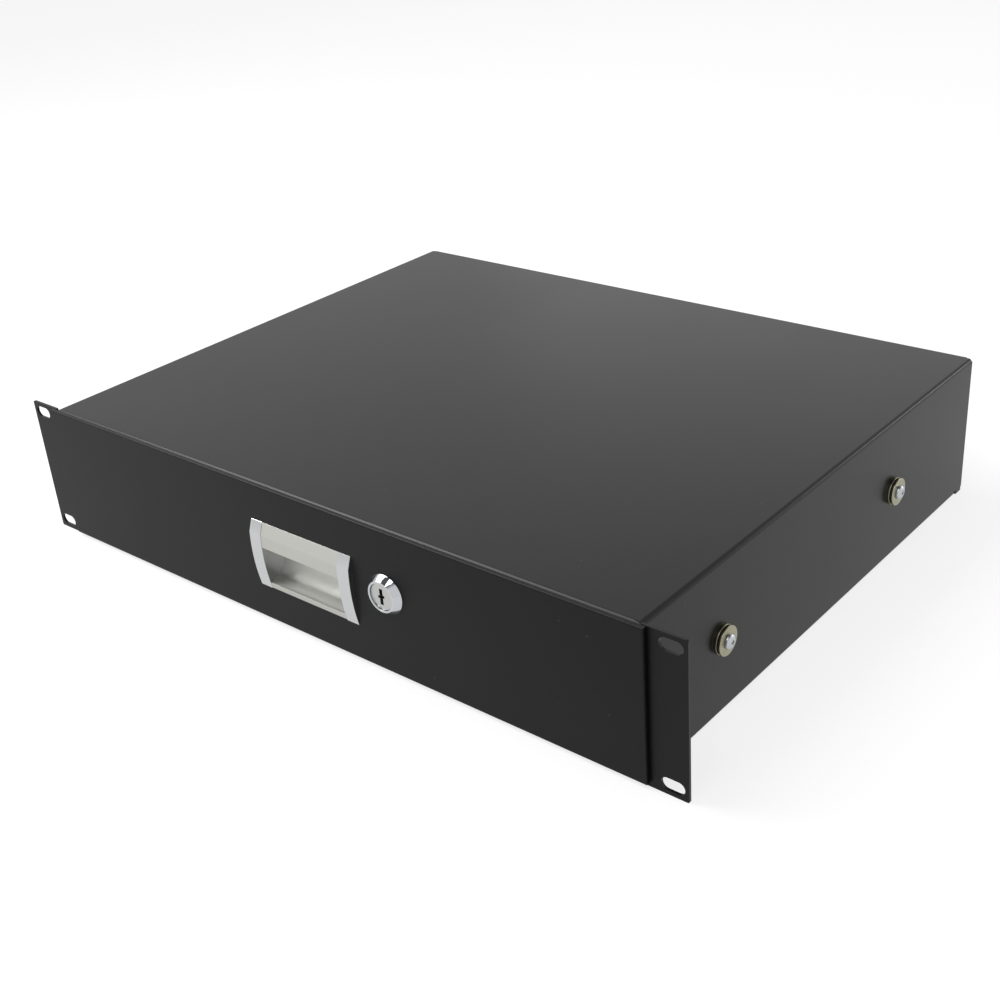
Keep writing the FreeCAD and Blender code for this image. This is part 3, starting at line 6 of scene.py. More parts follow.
import bpy
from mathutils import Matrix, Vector


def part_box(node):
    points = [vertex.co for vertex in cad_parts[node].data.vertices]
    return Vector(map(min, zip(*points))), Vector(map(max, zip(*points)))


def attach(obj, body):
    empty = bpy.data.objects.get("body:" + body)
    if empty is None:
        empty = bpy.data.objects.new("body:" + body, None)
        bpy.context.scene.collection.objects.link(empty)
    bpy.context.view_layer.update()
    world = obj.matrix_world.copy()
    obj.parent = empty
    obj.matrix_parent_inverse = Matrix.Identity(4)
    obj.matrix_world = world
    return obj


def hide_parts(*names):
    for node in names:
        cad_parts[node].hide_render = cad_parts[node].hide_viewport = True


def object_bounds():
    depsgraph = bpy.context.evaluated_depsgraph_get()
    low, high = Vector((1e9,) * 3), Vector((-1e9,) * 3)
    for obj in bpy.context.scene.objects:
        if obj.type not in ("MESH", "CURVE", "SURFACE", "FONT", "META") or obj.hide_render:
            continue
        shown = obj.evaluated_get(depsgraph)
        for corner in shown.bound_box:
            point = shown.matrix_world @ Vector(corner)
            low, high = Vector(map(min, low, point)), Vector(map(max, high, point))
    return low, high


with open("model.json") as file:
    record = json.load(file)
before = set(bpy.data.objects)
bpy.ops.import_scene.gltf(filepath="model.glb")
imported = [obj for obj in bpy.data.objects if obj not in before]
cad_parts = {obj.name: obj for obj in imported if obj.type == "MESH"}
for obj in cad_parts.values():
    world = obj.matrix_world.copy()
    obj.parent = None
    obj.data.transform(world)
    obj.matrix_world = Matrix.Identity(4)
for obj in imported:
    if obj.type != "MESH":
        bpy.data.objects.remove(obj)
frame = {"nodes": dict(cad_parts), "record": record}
cad_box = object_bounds()
bpy.ops.object.select_all(action="DESELECT")


# --- Housing cover -------------------------------------------------------------------------
# One sheet of 1.5 mm steel folded into the roof, both sides and the slotted rack ears. The
# blank is deburred, folded and then powder coated, so every cut edge is slightly rounded.

def linear(hex_colour):
    """An sRGB hex colour as linear RGBA."""
    parts = [int(hex_colour[i:i + 2], 16) / 255 for i in (1, 3, 5)]
    return [c / 12.92 if c <= 0.04045 else ((c + 0.055) / 1.055) ** 2.4 for c in parts] + [1.0]


def add_node(tree, kind, links=(), **settings):
    """Add a node; in_N sets input N, and each link is (input, node it comes from, output)."""
    node = tree.nodes.new(kind)
    for name, value in settings.items():
        if name.startswith("in_"):
            node.inputs[int(name[3:])].default_value = value
        else:
            setattr(node, name, value)
    for target, source, output in links:
        tree.links.new(source.outputs[output], node.inputs[target])
    return node


def bare_finish(name, colour, roughness, metallic=0.0):
    """A plain shader for a finish, with a node that reads Object coordinates."""
    material = bpy.data.materials.new(name)
    material.use_nodes = True
    tree = material.node_tree
    shader = tree.nodes["Principled BSDF"]
    shader.inputs["Base Color"].default_value = linear(colour)
    shader.inputs["Roughness"].default_value = roughness
    shader.inputs["Metallic"].default_value = metallic
    return material, tree, shader, add_node(tree, "ShaderNodeTexCoord")


def per_metre(size_mm):
    """The scale of a noise whose features are that many millimetres across."""
    return 1000.0 / size_mm


# Nearly all of a noise's values lie between these two.
NOISE_LOW, NOISE_HIGH = 0.3, 0.7


def vary_roughness(tree, shader, cloud, middle, swing):
    """Roughness wanders by the swing about its middle value, following a noise."""
    spread = add_node(tree, "ShaderNodeMapRange", [(0, cloud, 0)], in_1=NOISE_LOW,
                      in_2=NOISE_HIGH, in_3=middle - swing, in_4=middle + swing)
    tree.links.new(spread.outputs[0], shader.inputs["Roughness"])


def emboss(tree, shader, pattern, strength, deep_mm):
    """The surface rises and falls with the pattern by up to that many millimetres."""
    bump = add_node(tree, "ShaderNodeBump", [("Height", pattern, 0)])
    bump.inputs["Strength"].default_value = strength
    bump.inputs["Distance"].default_value = deep_mm / 1000
    tree.links.new(bump.outputs[0], shader.inputs["Normal"])


# Millimetres: the coat's orange peel, its grain, the slow drift of its gloss, and the grid
# over which dust is scattered, with the radii of a speck's solid core and of its faded rim.
PEEL, GRAIN, DRIFT = 2.0, 0.7, 110.0
DUST_GRID, DUST_CORE, DUST_RIM = 18.0, 0.252, 0.432


def powder_coat(name, colour, roughness, specular):
    """Baked polyester powder: it flows into a faint orange peel 2 mm across with a finer
    grain on it, so highlights break up softly and the black never looks like glass. A speck
    of pale dust lies here and there, under a millimetre wide and several centimetres apart."""
    material, tree, shader, place = bare_finish(name, colour, roughness)
    dust = add_node(tree, "ShaderNodeTexVoronoi", [(0, place, 3)], in_2=per_metre(DUST_GRID))
    speck = add_node(tree, "ShaderNodeMapRange", [(0, dust, 0)], in_1=DUST_CORE / DUST_GRID,
                     in_2=DUST_RIM / DUST_GRID, in_3=0.8, in_4=0.0)
    dusted = add_node(tree, "ShaderNodeMix", [(0, speck, 0)], data_type="RGBA",
                      in_6=linear(colour), in_7=linear("#4c4a45"))
    tree.links.new(dusted.outputs[2], shader.inputs["Base Color"])
    shader.inputs["Specular IOR Level"].default_value = specular
    peel = add_node(tree, "ShaderNodeTexNoise", [(0, place, 3)], in_2=per_metre(PEEL), in_3=1.0)
    grain = add_node(tree, "ShaderNodeTexNoise", [(0, place, 3)], in_2=per_metre(GRAIN), in_3=1.0)
    cloud = add_node(tree, "ShaderNodeTexNoise", [(0, place, 3)], in_2=per_metre(DRIFT), in_3=2.0)
    vary_roughness(tree, shader, cloud, roughness, 0.012)
    both = add_node(tree, "ShaderNodeMix", [(2, peel, 0), (3, grain, 0)], in_0=0.35)
    emboss(tree, shader, both, 0.25, 0.06)
    return material


def round_and_shade(piece, edge_mm):
    """Round the sharp edges by edge_mm, then shade by face area, so that flats stay flat and
    only the bends between them turn."""
    bpy.ops.object.select_all(action="DESELECT")
    bpy.context.view_layer.objects.active = piece
    piece.select_set(True)
    bpy.ops.object.shade_smooth()
    bevel = piece.modifiers.new("edges", "BEVEL")
    bevel.width = edge_mm / 1000
    bevel.segments = 2
    bevel.limit_method = "ANGLE"
    bevel.angle_limit = radians(40)
    bpy.ops.object.modifier_apply(modifier=bevel.name)
    flats = piece.modifiers.new("flats", "WEIGHTED_NORMAL")
    flats.mode, flats.weight, flats.keep_sharp = "FACE_AREA", 100, True
    bpy.ops.object.modifier_apply(modifier=flats.name)
    piece.select_set(False)


BODIES = frame["record"]["behaviour"]["bodies"]


def stands_for(piece, node, material):
    """The piece takes the CAD node's place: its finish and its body."""
    if not piece.data.materials:
        piece.data.materials.append(material)
    piece.data.materials[0] = material
    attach(piece, next(body for body, nodes in BODIES.items() if node in nodes))
    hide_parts(node)


def merged_copy(node):
    """A copy of the node's own shape with its triangles merged into flats."""
    bpy.ops.object.select_all(action="DESELECT")
    piece = bpy.data.objects.new(node + "_finished", frame["nodes"][node].data.copy())
    bpy.context.collection.objects.link(piece)
    bpy.context.view_layer.objects.active = piece
    piece.select_set(True)
    bpy.ops.object.mode_set(mode="EDIT")
    bpy.ops.mesh.select_all(action="SELECT")
    bpy.ops.mesh.remove_doubles(threshold=1e-6)
    bpy.ops.mesh.dissolve_limited(angle_limit=radians(0.5))
    bpy.ops.object.mode_set(mode="OBJECT")
    if "custom_normal" in piece.data.attributes:
        bpy.ops.mesh.customdata_custom_splitnormals_clear()
    piece.data.materials.clear()
    return piece


def refine(node, material, edge_mm):
    """The node's own shape with its edges rounded and its finish on."""
    piece = merged_copy(node)
    round_and_shade(piece, edge_mm)
    stands_for(piece, node, material)


def carve(piece, tool, operation="DIFFERENCE"):
    """Cut the tool's shape out of the piece, add it, or keep only what both share."""
    bpy.ops.object.select_all(action="DESELECT")
    bpy.context.view_layer.objects.active = piece
    piece.select_set(True)
    cut = piece.modifiers.new("cut", "BOOLEAN")
    cut.object = tool
    cut.operation = operation
    cut.solver = "EXACT"
    bpy.ops.object.modifier_apply(modifier=cut.name)
    bpy.data.objects.remove(tool)
    piece.select_set(False)


def block(low_corner, high_corner):
    """A plain box between two corners, in metres."""
    middle = (Vector(low_corner) + Vector(high_corner)) / 2
    bpy.ops.object.select_all(action="DESELECT")
    bpy.ops.mesh.primitive_cube_add(size=1, location=middle)
    box = bpy.context.active_object
    box.scale = Vector(high_corner) - Vector(low_corner)
    bpy.ops.object.transform_apply(location=True, scale=True)
    return box


def round_edges(piece, wanted, radius, segments):
    """Round the edges that are wanted, each judged by its two ends."""
    bpy.ops.object.mode_set(mode="EDIT")
    bpy.ops.mesh.select_all(action="DESELECT")
    bpy.ops.object.mode_set(mode="OBJECT")
    for edge in piece.data.edges:
        edge.select = wanted([piece.data.vertices[index].co for index in edge.vertices])
    bpy.ops.object.mode_set(mode="EDIT")
    bpy.ops.mesh.bevel(offset=radius, segments=segments, affect="EDGES")
    bpy.ops.object.mode_set(mode="OBJECT")


# Millimetres: half the housing's width, how far the ears stand above the roof, the depth of
# the corner notch, the outer radius of the bends and the sheet's thickness.
HALF_WIDTH, EAR_STEP, RELIEF, BEND, SHEET = 217.0, 0.4, 2.6, 2.3, 1.5
# The bead follows a bend with this many facets.
BEND_FACETS = 11


def corner_weld(side):
    """The bead that closes the roof's front corner on that side, ground flush to the bends."""
    low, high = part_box("top_cover")
    half, roof = HALF_WIDTH / 1000, high.z - EAR_STEP / 1000
    across = sorted((side * half, side * (half - (RELIEF + SHEET) / 1000)))
    weld = block((across[0], low.y, roof - RELIEF / 1000),
                 (across[1], low.y + RELIEF / 1000, roof))

    def on_a_bend(ends):
        top = all(abs(end.z - roof) < 1e-6 for end in ends)
        front = all(abs(end.y - low.y) < 1e-6 for end in ends)
        outer = all(abs(end.x - side * half) < 1e-6 for end in ends)
        return top and (front or outer)

    round_edges(weld, on_a_bend, BEND / 1000, BEND_FACETS)
    return weld


black_coat = powder_coat("satin_black_powder_coat", "#111112", 0.30, 0.20)
cover = merged_copy("top_cover")
for side in (1, -1):
    carve(cover, corner_weld(side), "UNION")
round_and_shade(cover, 0.2)
stands_for(cover, "top_cover", black_coat)


# --- Base plate ----------------------------------------------------------------------------
# A second folded sheet, coated with the cover, closes the housing below and at the back. It is
# held by four countersunk M3 screws with cross recesses, zinc plated.

def plated_steel(name, colour, roughness, swing=0.03):
    """Zinc over steel: a silver-grey metal whose gloss wanders slightly over a centimetre or
    two, because the plating grew unevenly in its bath."""
    material, tree, shader, place = bare_finish(name, colour, roughness, metallic=1.0)
    cloud = add_node(tree, "ShaderNodeTexNoise", [(0, place, 3)], in_2=per_metre(18.0), in_3=2.0)
    vary_roughness(tree, shader, cloud, roughness, swing)
    return material


# How many sides a turned piece has, and the turn that points +Z along each direction.
ROUND_SIDES = 48
ALONG = {"+x": (0, pi / 2, 0), "-x": (0, -pi / 2, 0), "+y": (-pi / 2, 0, 0), "-y": (pi / 2, 0, 0),
         "+z": (0, 0, 0), "-z": (pi, 0, 0)}


def ring_of(name, place_mm, radius_mm):
    """Start a round piece: a bare circle about +Z at that height and radius."""
    bpy.ops.object.select_all(action="DESELECT")
    bpy.ops.mesh.primitive_circle_add(vertices=ROUND_SIDES, radius=radius_mm / 1000,
                                      location=(0, 0, place_mm / 1000))
    bpy.context.active_object.name = name
    bpy.ops.object.transform_apply(location=True)
    return bpy.context.active_object


def turn(name, profile, along, centre, hollow=False, edge_mm=0.15):
    """A turned piece: profile is (distance along the axis, radius) in mm from one end to the
    other, or all the way round where the piece is hollow; centre is in metres."""
    piece = ring_of(name, *profile[0])
    bpy.ops.object.mode_set(mode="EDIT")
    bpy.ops.mesh.select_all(action="SELECT")
    last, radius = profile[0]
    for reach, new_radius in profile[1:] + (profile[:1] if hollow else []):
        bpy.ops.mesh.extrude_region_move(
            TRANSFORM_OT_translate={"value": (0, 0, (reach - last) / 1000)})
        grow = new_radius / radius
        bpy.ops.transform.resize(value=(grow, grow, 1), center_override=(0, 0, reach / 1000))
        last, radius = reach, new_radius
    if hollow:
        bpy.ops.mesh.select_all(action="SELECT")
        bpy.ops.mesh.remove_doubles(threshold=1e-6)
    else:
        bpy.ops.mesh.edge_face_add()
        bpy.ops.mesh.select_all(action="DESELECT")
        bpy.ops.mesh.select_non_manifold()
        bpy.ops.mesh.edge_face_add()
    bpy.ops.mesh.select_all(action="SELECT")
    bpy.ops.mesh.normals_make_consistent(inside=False)
    bpy.ops.object.mode_set(mode="OBJECT")
    piece.rotation_euler = ALONG[along]
    piece.location = centre
    bpy.ops.object.transform_apply(location=True, rotation=True)
    round_and_shade(piece, edge_mm)
    return piece


# A punch's bars narrow to this share of their size at the bottom of the recess.
PUNCH_TAPER = 0.45


def cross_punch(along, centre, long_mm, wide_mm, deep_mm):
    """The punch of a cross recess: two crossed bars that narrow towards the bottom, with
    their mouths at the centre; along points out of the screw's head."""
    bars = []
    for sides in ((long_mm, wide_mm), (wide_mm, long_mm)):
        bpy.ops.mesh.primitive_cube_add(size=0.001)
        bar = bpy.context.active_object
        bar.scale = (*sides, 2 * deep_mm)
        bpy.ops.object.transform_apply(scale=True)
        bpy.ops.object.mode_set(mode="EDIT")
        bpy.ops.mesh.select_all(action="DESELECT")
        bpy.ops.object.mode_set(mode="OBJECT")
        for face in bar.data.polygons:
            face.select = face.normal.z < -0.9
        bpy.ops.object.mode_set(mode="EDIT")
        bpy.ops.transform.resize(value=(PUNCH_TAPER, PUNCH_TAPER, 1),
                                 center_override=(0, 0, -deep_mm / 1000))
        bpy.ops.object.mode_set(mode="OBJECT")
        bars.append(bar)
    union = bars[0].modifiers.new("join", "BOOLEAN")
    union.object, union.operation = bars[1], "UNION"
    bpy.ops.object.select_all(action="DESELECT")
    bpy.context.view_layer.objects.active = bars[0]
    bars[0].select_set(True)
    bpy.ops.object.modifier_apply(modifier=union.name)
    bpy.data.objects.remove(bars[1])
    bars[0].rotation_euler = ALONG[along]
    bars[0].location = centre
    bpy.ops.object.transform_apply(location=True, rotation=True)
    return bars[0]


def group_stands_for(pieces, node, material):
    """Several loose solids, joined as one object, take the place of a node."""
    bpy.ops.object.select_all(action="DESELECT")
    for piece in pieces:
        piece.select_set(True)
    bpy.context.view_layer.objects.active = pieces[0]
    bpy.ops.object.join()
    pieces[0].name = node + "_finished"
    pieces[0].select_set(False)
    stands_for(pieces[0], node, material)


refine("base_plate", black_coat, 0.2)
bright_zinc = plated_steel("bright_zinc_plate", "#b9bcc0", 0.30)

low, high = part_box("base_screws")
# Millimetres: radii of shank and head, the head's straight rim, its depth and the length of
# the screw; then the length, width and depth of its cross recess.
SHANK, HEAD, HEAD_RIM, HEAD_DEEP, SCREW_LENGTH = 1.5, 2.8, 0.2, 1.3, 6.0
BASE_CROSS = (3.0, 0.7, 1.0)
screws = []
for x in (low.x + HEAD / 1000, high.x - HEAD / 1000):
    for y in (low.y + HEAD / 1000, high.y - HEAD / 1000):
        screw = turn("base_screw", [(0, HEAD), (HEAD_RIM, HEAD), (HEAD_DEEP, SHANK),
                                    (SCREW_LENGTH, SHANK)], "+z", (x, y, low.z), edge_mm=0.08)
        carve(screw, cross_punch("-z", (x, y, low.z), *BASE_CROSS))
        screws.append(screw)
group_stands_for(screws, "base_screws", bright_zinc)


# --- Telescopic slides ---------------------------------------------------------------------
# Cold-rolled steel channels, zinc plated, one inside the other. Stamped retainers keep five
# polished balls a row between their races. A moulded plug closes each outer rail at the back.

def moulded(name, colour, roughness):
    """Moulded acetal: a slightly waxy plastic that copies its tool's fine spark-eroded
    texture, so it shines only softly."""
    material, tree, shader, place = bare_finish(name, colour, roughness)
    grain = add_node(tree, "ShaderNodeTexNoise", [(0, place, 3)], in_2=per_metre(0.8), in_3=2.0)
    emboss(tree, shader, grain, 0.2, 0.03)
    return material


def spaced(first, last, count):
    """The places of a row of like things, from the first to the last."""
    return [first + (last - first) * step / (count - 1) for step in range(count)]


# A CAD ball has flats at this share of its radius; the real one is round.
FLAT_SHARE = 0.86
BALLS_A_ROW = 5
acetal = moulded("black_acetal", "#1c1c1e", 0.45)
ball_steel = plated_steel("polished_bearing_steel", "#c6c8cb", 0.10, swing=0.01)
for hand in ("left", "right"):
    for rail in ("outer_rail", "middle_rail", "inner_rail", "outer_cage", "inner_cage"):
        refine(f"{rail}_{hand}", bright_zinc, 0.1)
    for row in ("outer_balls", "inner_balls"):
        low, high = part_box(f"{row}_{hand}")
        half = (high.x - low.x) / 2
        balls = []
        for z in (low.z + half, high.z - half):
            for y in spaced(low.y + half, high.y - half, BALLS_A_ROW):
                bpy.ops.mesh.primitive_uv_sphere_add(segments=24, ring_count=14,
                                                     radius=half / FLAT_SHARE,
                                                     location=((low.x + high.x) / 2, y, z))
                bpy.ops.object.transform_apply(location=True)
                bpy.ops.object.shade_smooth()
                balls.append(bpy.context.active_object)
        group_stands_for(balls, f"{row}_{hand}", ball_steel)
refine("rear_bumpers", acetal, 0.5)


# --- Side screws ---------------------------------------------------------------------------
# Each slide hangs on two pan head screws. Under the head: a thick yellow-passivated washer,
# a rubber ring that takes up the play, and a second washer against the wall.

def passivated(name, colour, tint, roughness):
    """Yellow chromate over zinc: a thin film that gives the metal an olive gold tone, deeper
    in patches a few millimetres across where the dip ran off slowly."""
    material, tree, shader, place = bare_finish(name, colour, roughness, metallic=1.0)
    patches = add_node(tree, "ShaderNodeTexNoise", [(0, place, 3)], in_2=per_metre(5.0), in_3=2.0)
    mixed = add_node(tree, "ShaderNodeMix", [(0, patches, 0)], data_type="RGBA",
                     in_6=linear(colour), in_7=linear(tint))
    tree.links.new(mixed.outputs[2], shader.inputs["Base Color"])
    vary_roughness(tree, shader, patches, roughness, 0.05)
    return material


def rubber(name, colour):
    """Vulcanised rubber: matt and dusty, with almost no shine."""
    return bare_finish(name, colour, 0.85)[0]


# The dome of a pan head, as shares of its height and radius, and its cross recess: length as
# a share of the radius, width in millimetres, depth as a share of the height.
PAN_DOME = ((0.45, 1.0), (0.75, 0.86), (0.93, 0.62), (1.0, 0.35))
CROSS_LONG, CROSS_WIDE, CROSS_DEEP = 1.05, 0.85, 0.6
# The narrowed tip: its radius as a share of the shank's, and its length in millimetres. The
# head's lower rim is broken by this much inwards and upwards.
TIP_SHARE, TIP_LONG = 0.8, 0.6
RIM_IN, RIM_UP = 0.15, 0.2
AXIS = {"+x": Vector((1, 0, 0)), "-x": Vector((-1, 0, 0)), "+y": Vector((0, 1, 0))}


def pan_screw(along, seat, length_mm, head_mm, high_mm, shank_mm):
    """A pan head screw with a cross recess; its head rises along the axis from the seat.
    The sizes of head and shank are radii."""
    shank = [(-length_mm, shank_mm * TIP_SHARE), (-length_mm + TIP_LONG, shank_mm), (0, shank_mm)]
    rim = [(0, head_mm - RIM_IN), (RIM_UP, head_mm)]
    dome = [(high_mm * up, head_mm * out) for up, out in PAN_DOME]
    screw = turn("pan_screw", shank + rim + dome, along, seat, edge_mm=0.1)
    top = Vector(seat) + AXIS[along] * high_mm / 1000
    carve(screw, cross_punch(along, top, head_mm * CROSS_LONG, CROSS_WIDE, high_mm * CROSS_DEEP))
    return screw


def inmost(node):
    """How near the node's own shape comes to the middle plane."""
    return min(abs(vertex.co.x) for vertex in frame["nodes"][node].data.vertices)


yellow_zinc = passivated("yellow_passivated_zinc", "#a3a18c", "#8f8b70", 0.28)
black_rubber = rubber("black_rubber", "#151515")
low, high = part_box("outer_washers")
washer_radius = (high.z - low.z) / 2
middle_z = (low.z + high.z) / 2
screw_places = (low.y + washer_radius, high.y - washer_radius)
ring_low, ring_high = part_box("rubber_rings")
ring_radius = (ring_high.z - ring_low.z) / 2
inner_x, ring_x, outer_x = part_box("inner_washers")[1].x, ring_high.x, high.x
wall_x = inner_x - (outer_x - ring_x)
# The radius of the hole through washers and rings, in millimetres.
SCREW_HOLE = 2.1
# Each ring from the wall outwards: node, finish, start, end, radius and edge rounding.
stack = (("inner_washers", yellow_zinc, wall_x, inner_x, washer_radius, 0.25),
         ("rubber_rings", black_rubber, inner_x, ring_x, ring_radius, 0.2),
         ("outer_washers", yellow_zinc, ring_x, outer_x, washer_radius, 0.35))
for node, material, start, end, radius, edge in stack:
    thick, wide = (end - start) * 1000, radius * 1000
    profile = [(0, SCREW_HOLE), (0, wide), (thick, wide), (thick, SCREW_HOLE)]
    rings = [turn(node, profile, along, (sign * start, y, middle_z), hollow=True, edge_mm=edge)
             for sign, along in ((1, "+x"), (-1, "-x")) for y in screw_places]
    group_stands_for(rings, node, material)
low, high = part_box("side_screws")
# M4 pan heads: radii of head and shank, in millimetres.
PAN_HEAD, SIDE_SHANK = 4.0, 2.0
head_high = (high.x - outer_x) * 1000
length = (outer_x - inmost("side_screws")) * 1000
screws = [pan_screw(along, (sign * outer_x, y, middle_z), length, PAN_HEAD, head_high, SIDE_SHANK)
          for sign, along in ((1, "+x"), (-1, "-x")) for y in screw_places]
group_stands_for(screws, "side_screws", bright_zinc)


# --- Drawer tray ---------------------------------------------------------------------------
# Folded from 1.2 mm sheet with its corners welded and ground, coated like the housing. Three
# pan head screws a side hold it to the inner rails.

refine("drawer_tray", black_coat, 0.15)
SCREWS_A_SIDE = 3
low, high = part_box("tray_screws")
inner_wall = inmost("tray_screws") + head_high / 1000
radius = (high.z - low.z) / 2
length = (high.x - inner_wall) * 1000
tray_z = (low.z + high.z) / 2
screws = [pan_screw(along, (sign * inner_wall, y, tray_z), length, PAN_HEAD, head_high, SIDE_SHANK)
          for sign, along in ((1, "-x"), (-1, "+x"))
          for y in spaced(low.y + radius, high.y - radius, SCREWS_A_SIDE)]
group_stands_for(screws, "tray_screws", bright_zinc)


# --- Front panel ---------------------------------------------------------------------------
# A shallow folded pan in the housing's black coat, here given a darker, less shiny copy of it
# that is painted shade. Four welded studs with nuts hold it to the tray's front wall.

# A nut's coned face ends just inside its flats, at this share of the width across them, and
# the cone falls away by about 30 degrees.
CONE_FACE, CONE_SLOPE = 0.49, 0.58


def hex_nut(along, seat, across_mm, high_mm, bore_mm):
    """A hexagon nut: a turned blank with coned faces, milled to six flats. Its size is the
    width across them, and that of its bore is a radius."""
    corner, face = across_mm / sqrt(3), across_mm * CONE_FACE
    cone = (corner - face) * CONE_SLOPE
    nut = turn("hex_nut", [(0, bore_mm), (0, face), (cone, corner), (high_mm - cone, corner),
                           (high_mm, face), (high_mm, bore_mm)], along, seat, hollow=True,
               edge_mm=0.05)
    bpy.ops.mesh.primitive_cylinder_add(vertices=6, radius=corner / 1000,
                                        depth=3 * high_mm / 1000, rotation=(0, 0, pi / 6))
    flats = bpy.context.active_object
    bpy.ops.object.transform_apply(rotation=True)
    flats.rotation_euler, flats.location = ALONG[along], seat
    bpy.ops.object.transform_apply(location=True, rotation=True)
    carve(nut, flats, "INTERSECT")
    return nut


# A darker, less shiny copy of the housing's coat: painted shade on the front faces.
front_shade_coat = powder_coat("front_shaded_black_powder_coat", "#0f0f0f", 0.38, 0.125)
refine("front_panel", front_shade_coat, 0.15)
# The ears' front faces take the same darker coat: painted shade over the whole front.
cover.data.materials.append(front_shade_coat)
for face in cover.data.polygons:
    if face.normal.y < -0.9 and abs(face.center.x) > HALF_WIDTH / 1000:
        face.material_index = 1
low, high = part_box("panel_nuts")
# M4 nuts: the width across their flats and the radius of the studs, in millimetres.
NUT_FLATS, STUD = 7.0, 2.0
nut_high = (high.y - low.y) * 1000
stud_x, half_flats = high.x - NUT_FLATS / sqrt(3) / 1000, NUT_FLATS / 2000
nuts = [hex_nut("+y", (sign * stud_x, low.y, z), NUT_FLATS, nut_high, STUD)
        for sign in (1, -1) for z in (low.z + half_flats, high.z - half_flats)]
group_stands_for(nuts, "panel_nuts", bright_zinc)


# --- Pull handle ---------------------------------------------------------------------------
# An aluminium extrusion, sandblasted and clear anodised: face plate, scooped finger pocket
# and lower lip in one section. Chrome-plated die-cast caps close its ends, each held through
# the tray's front wall by a pan head screw.

def anodised(name, colour, roughness):
    """Sandblasted, clear anodised aluminium: an even satin metal whose fine grain spreads
    every reflection."""
    material, tree, shader, place = bare_finish(name, colour, roughness, metallic=1.0)
    grain = add_node(tree, "ShaderNodeTexNoise", [(0, place, 3)], in_2=per_metre(0.5), in_3=2.0)
    cloud = add_node(tree, "ShaderNodeTexNoise", [(0, place, 3)], in_2=per_metre(14.0), in_3=3.0)
    vary_roughness(tree, shader, cloud, roughness, 0.05)
    emboss(tree, shader, grain, 0.25, 0.02)
    return material


def chrome(name, colour, roughness):
    """Bright chrome over a polished casting: nearly a mirror, with a little haze where the
    buffing wheel left it."""
    material, tree, shader, place = bare_finish(name, colour, roughness, metallic=1.0)
    haze = add_node(tree, "ShaderNodeTexNoise", [(0, place, 3)], in_2=per_metre(9.0), in_3=2.0)
    vary_roughness(tree, shader, haze, roughness, 0.03)
    return material


# Millimetres from the panel's face and from the handle's centre. The face is an arch with its
# crest above the centre; over the facet's start it slopes straight to the top edge.
ARCH_RADIUS, BULGE, CREST, FACET_FROM = 115.0, 3.35, 5.0, 14.0
INSET, WALL, PLATE_EDGE, CAP_RIM = 0.25, 1.3, 6.0, 0.4
POCKET_DEEP, POCKET_TOP, POCKET_LOW, POCKET_BACK, SCOOP = 12.0, 15.2, -16.6, -12.2, 11.0


def arch(up):
    """How far in front of the panel the grip's face is, as a negative depth."""
    return ARCH_RADIUS - BULGE - sqrt(ARCH_RADIUS ** 2 - (up - CREST) ** 2) + INSET


def arch_points(start, end, steps=8):
    """Points along the face between two heights, as (depth, height)."""
    return [(arch(up), up) for up in spaced(start, end, steps + 1)]


low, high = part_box("handle_grip")
half = (high.z - low.z) * 500
axis_z = (low.z + high.z) / 2
panel_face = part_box("front_panel")[0].y
lip = POCKET_LOW - INSET
plate = arch(PLATE_EDGE)
section = ([(0, half), (-CAP_RIM + INSET, half)] + arch_points(FACET_FROM, PLATE_EDGE)
           + [(plate + WALL, PLATE_EDGE), (plate + WALL, POCKET_TOP), (POCKET_DEEP, POCKET_TOP),
              (POCKET_DEEP, POCKET_BACK), (WALL, POCKET_LOW)]
           + arch_points(lip, -half)
           + [(0, -half), (0, POCKET_LOW - WALL), (WALL, POCKET_LOW - WALL),
              (POCKET_DEEP + WALL, POCKET_BACK - WALL), (POCKET_DEEP + WALL, POCKET_TOP + WALL),
              (0, POCKET_TOP + WALL)])
bpy.ops.mesh.primitive_circle_add(vertices=len(section), radius=0.02, fill_type="NGON")
grip = bpy.context.active_object
grip.name = "handle_grip_finished"
for vertex, (deep, up) in zip(grip.data.vertices, section):
    vertex.co = (low.x, panel_face + deep / 1000, axis_z + up / 1000)
bpy.ops.object.mode_set(mode="EDIT")
bpy.ops.mesh.select_all(action="SELECT")
bpy.ops.mesh.extrude_region_move(TRANSFORM_OT_translate={"value": (high.x - low.x, 0, 0)})
bpy.ops.mesh.select_all(action="SELECT")
bpy.ops.mesh.normals_make_consistent(inside=False)
bpy.ops.object.mode_set(mode="OBJECT")


def round_corner(piece, deep, up, tangent_mm, segments):
    """Round the section's corner at that depth and height, along the whole extrusion."""
    corner = Vector((0, panel_face + deep / 1000, axis_z + up / 1000))

    def along_corner(ends):
        near = all((Vector((0, end.y, end.z)) - corner).length < 1e-5 for end in ends)
        return near and abs(ends[0].x - ends[1].x) > 0.01

    round_edges(piece, along_corner, tangent_mm / 1000, segments)


# The tangent of half the turn from the pocket's back to its sloping floor, and the round on
# the face plate's lower edge.
SLOPE_TANGENT, PLATE_ROUND = 0.67, 0.5
round_corner(grip, POCKET_DEEP, POCKET_BACK, SCOOP * SLOPE_TANGENT, 20)
round_corner(grip, POCKET_DEEP + WALL, POCKET_BACK - WALL, (SCOOP + WALL) * SLOPE_TANGENT, 20)
for deep in (plate, plate + WALL):
    round_corner(grip, deep, PLATE_EDGE, PLATE_ROUND, 4)
round_and_shade(grip, 0.12)
satin_aluminium = anodised("sandblasted_anodised_aluminium", "#b9b9b4", 0.50)
stands_for(grip, "handle_grip", satin_aluminium)
cap_chrome = chrome("satin_chrome_plate", "#bdbebf", 0.18)
for hand in ("left", "right"):
    refine(f"handle_cap_{hand}", cap_chrome, 0.25)

low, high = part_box("handle_screws")
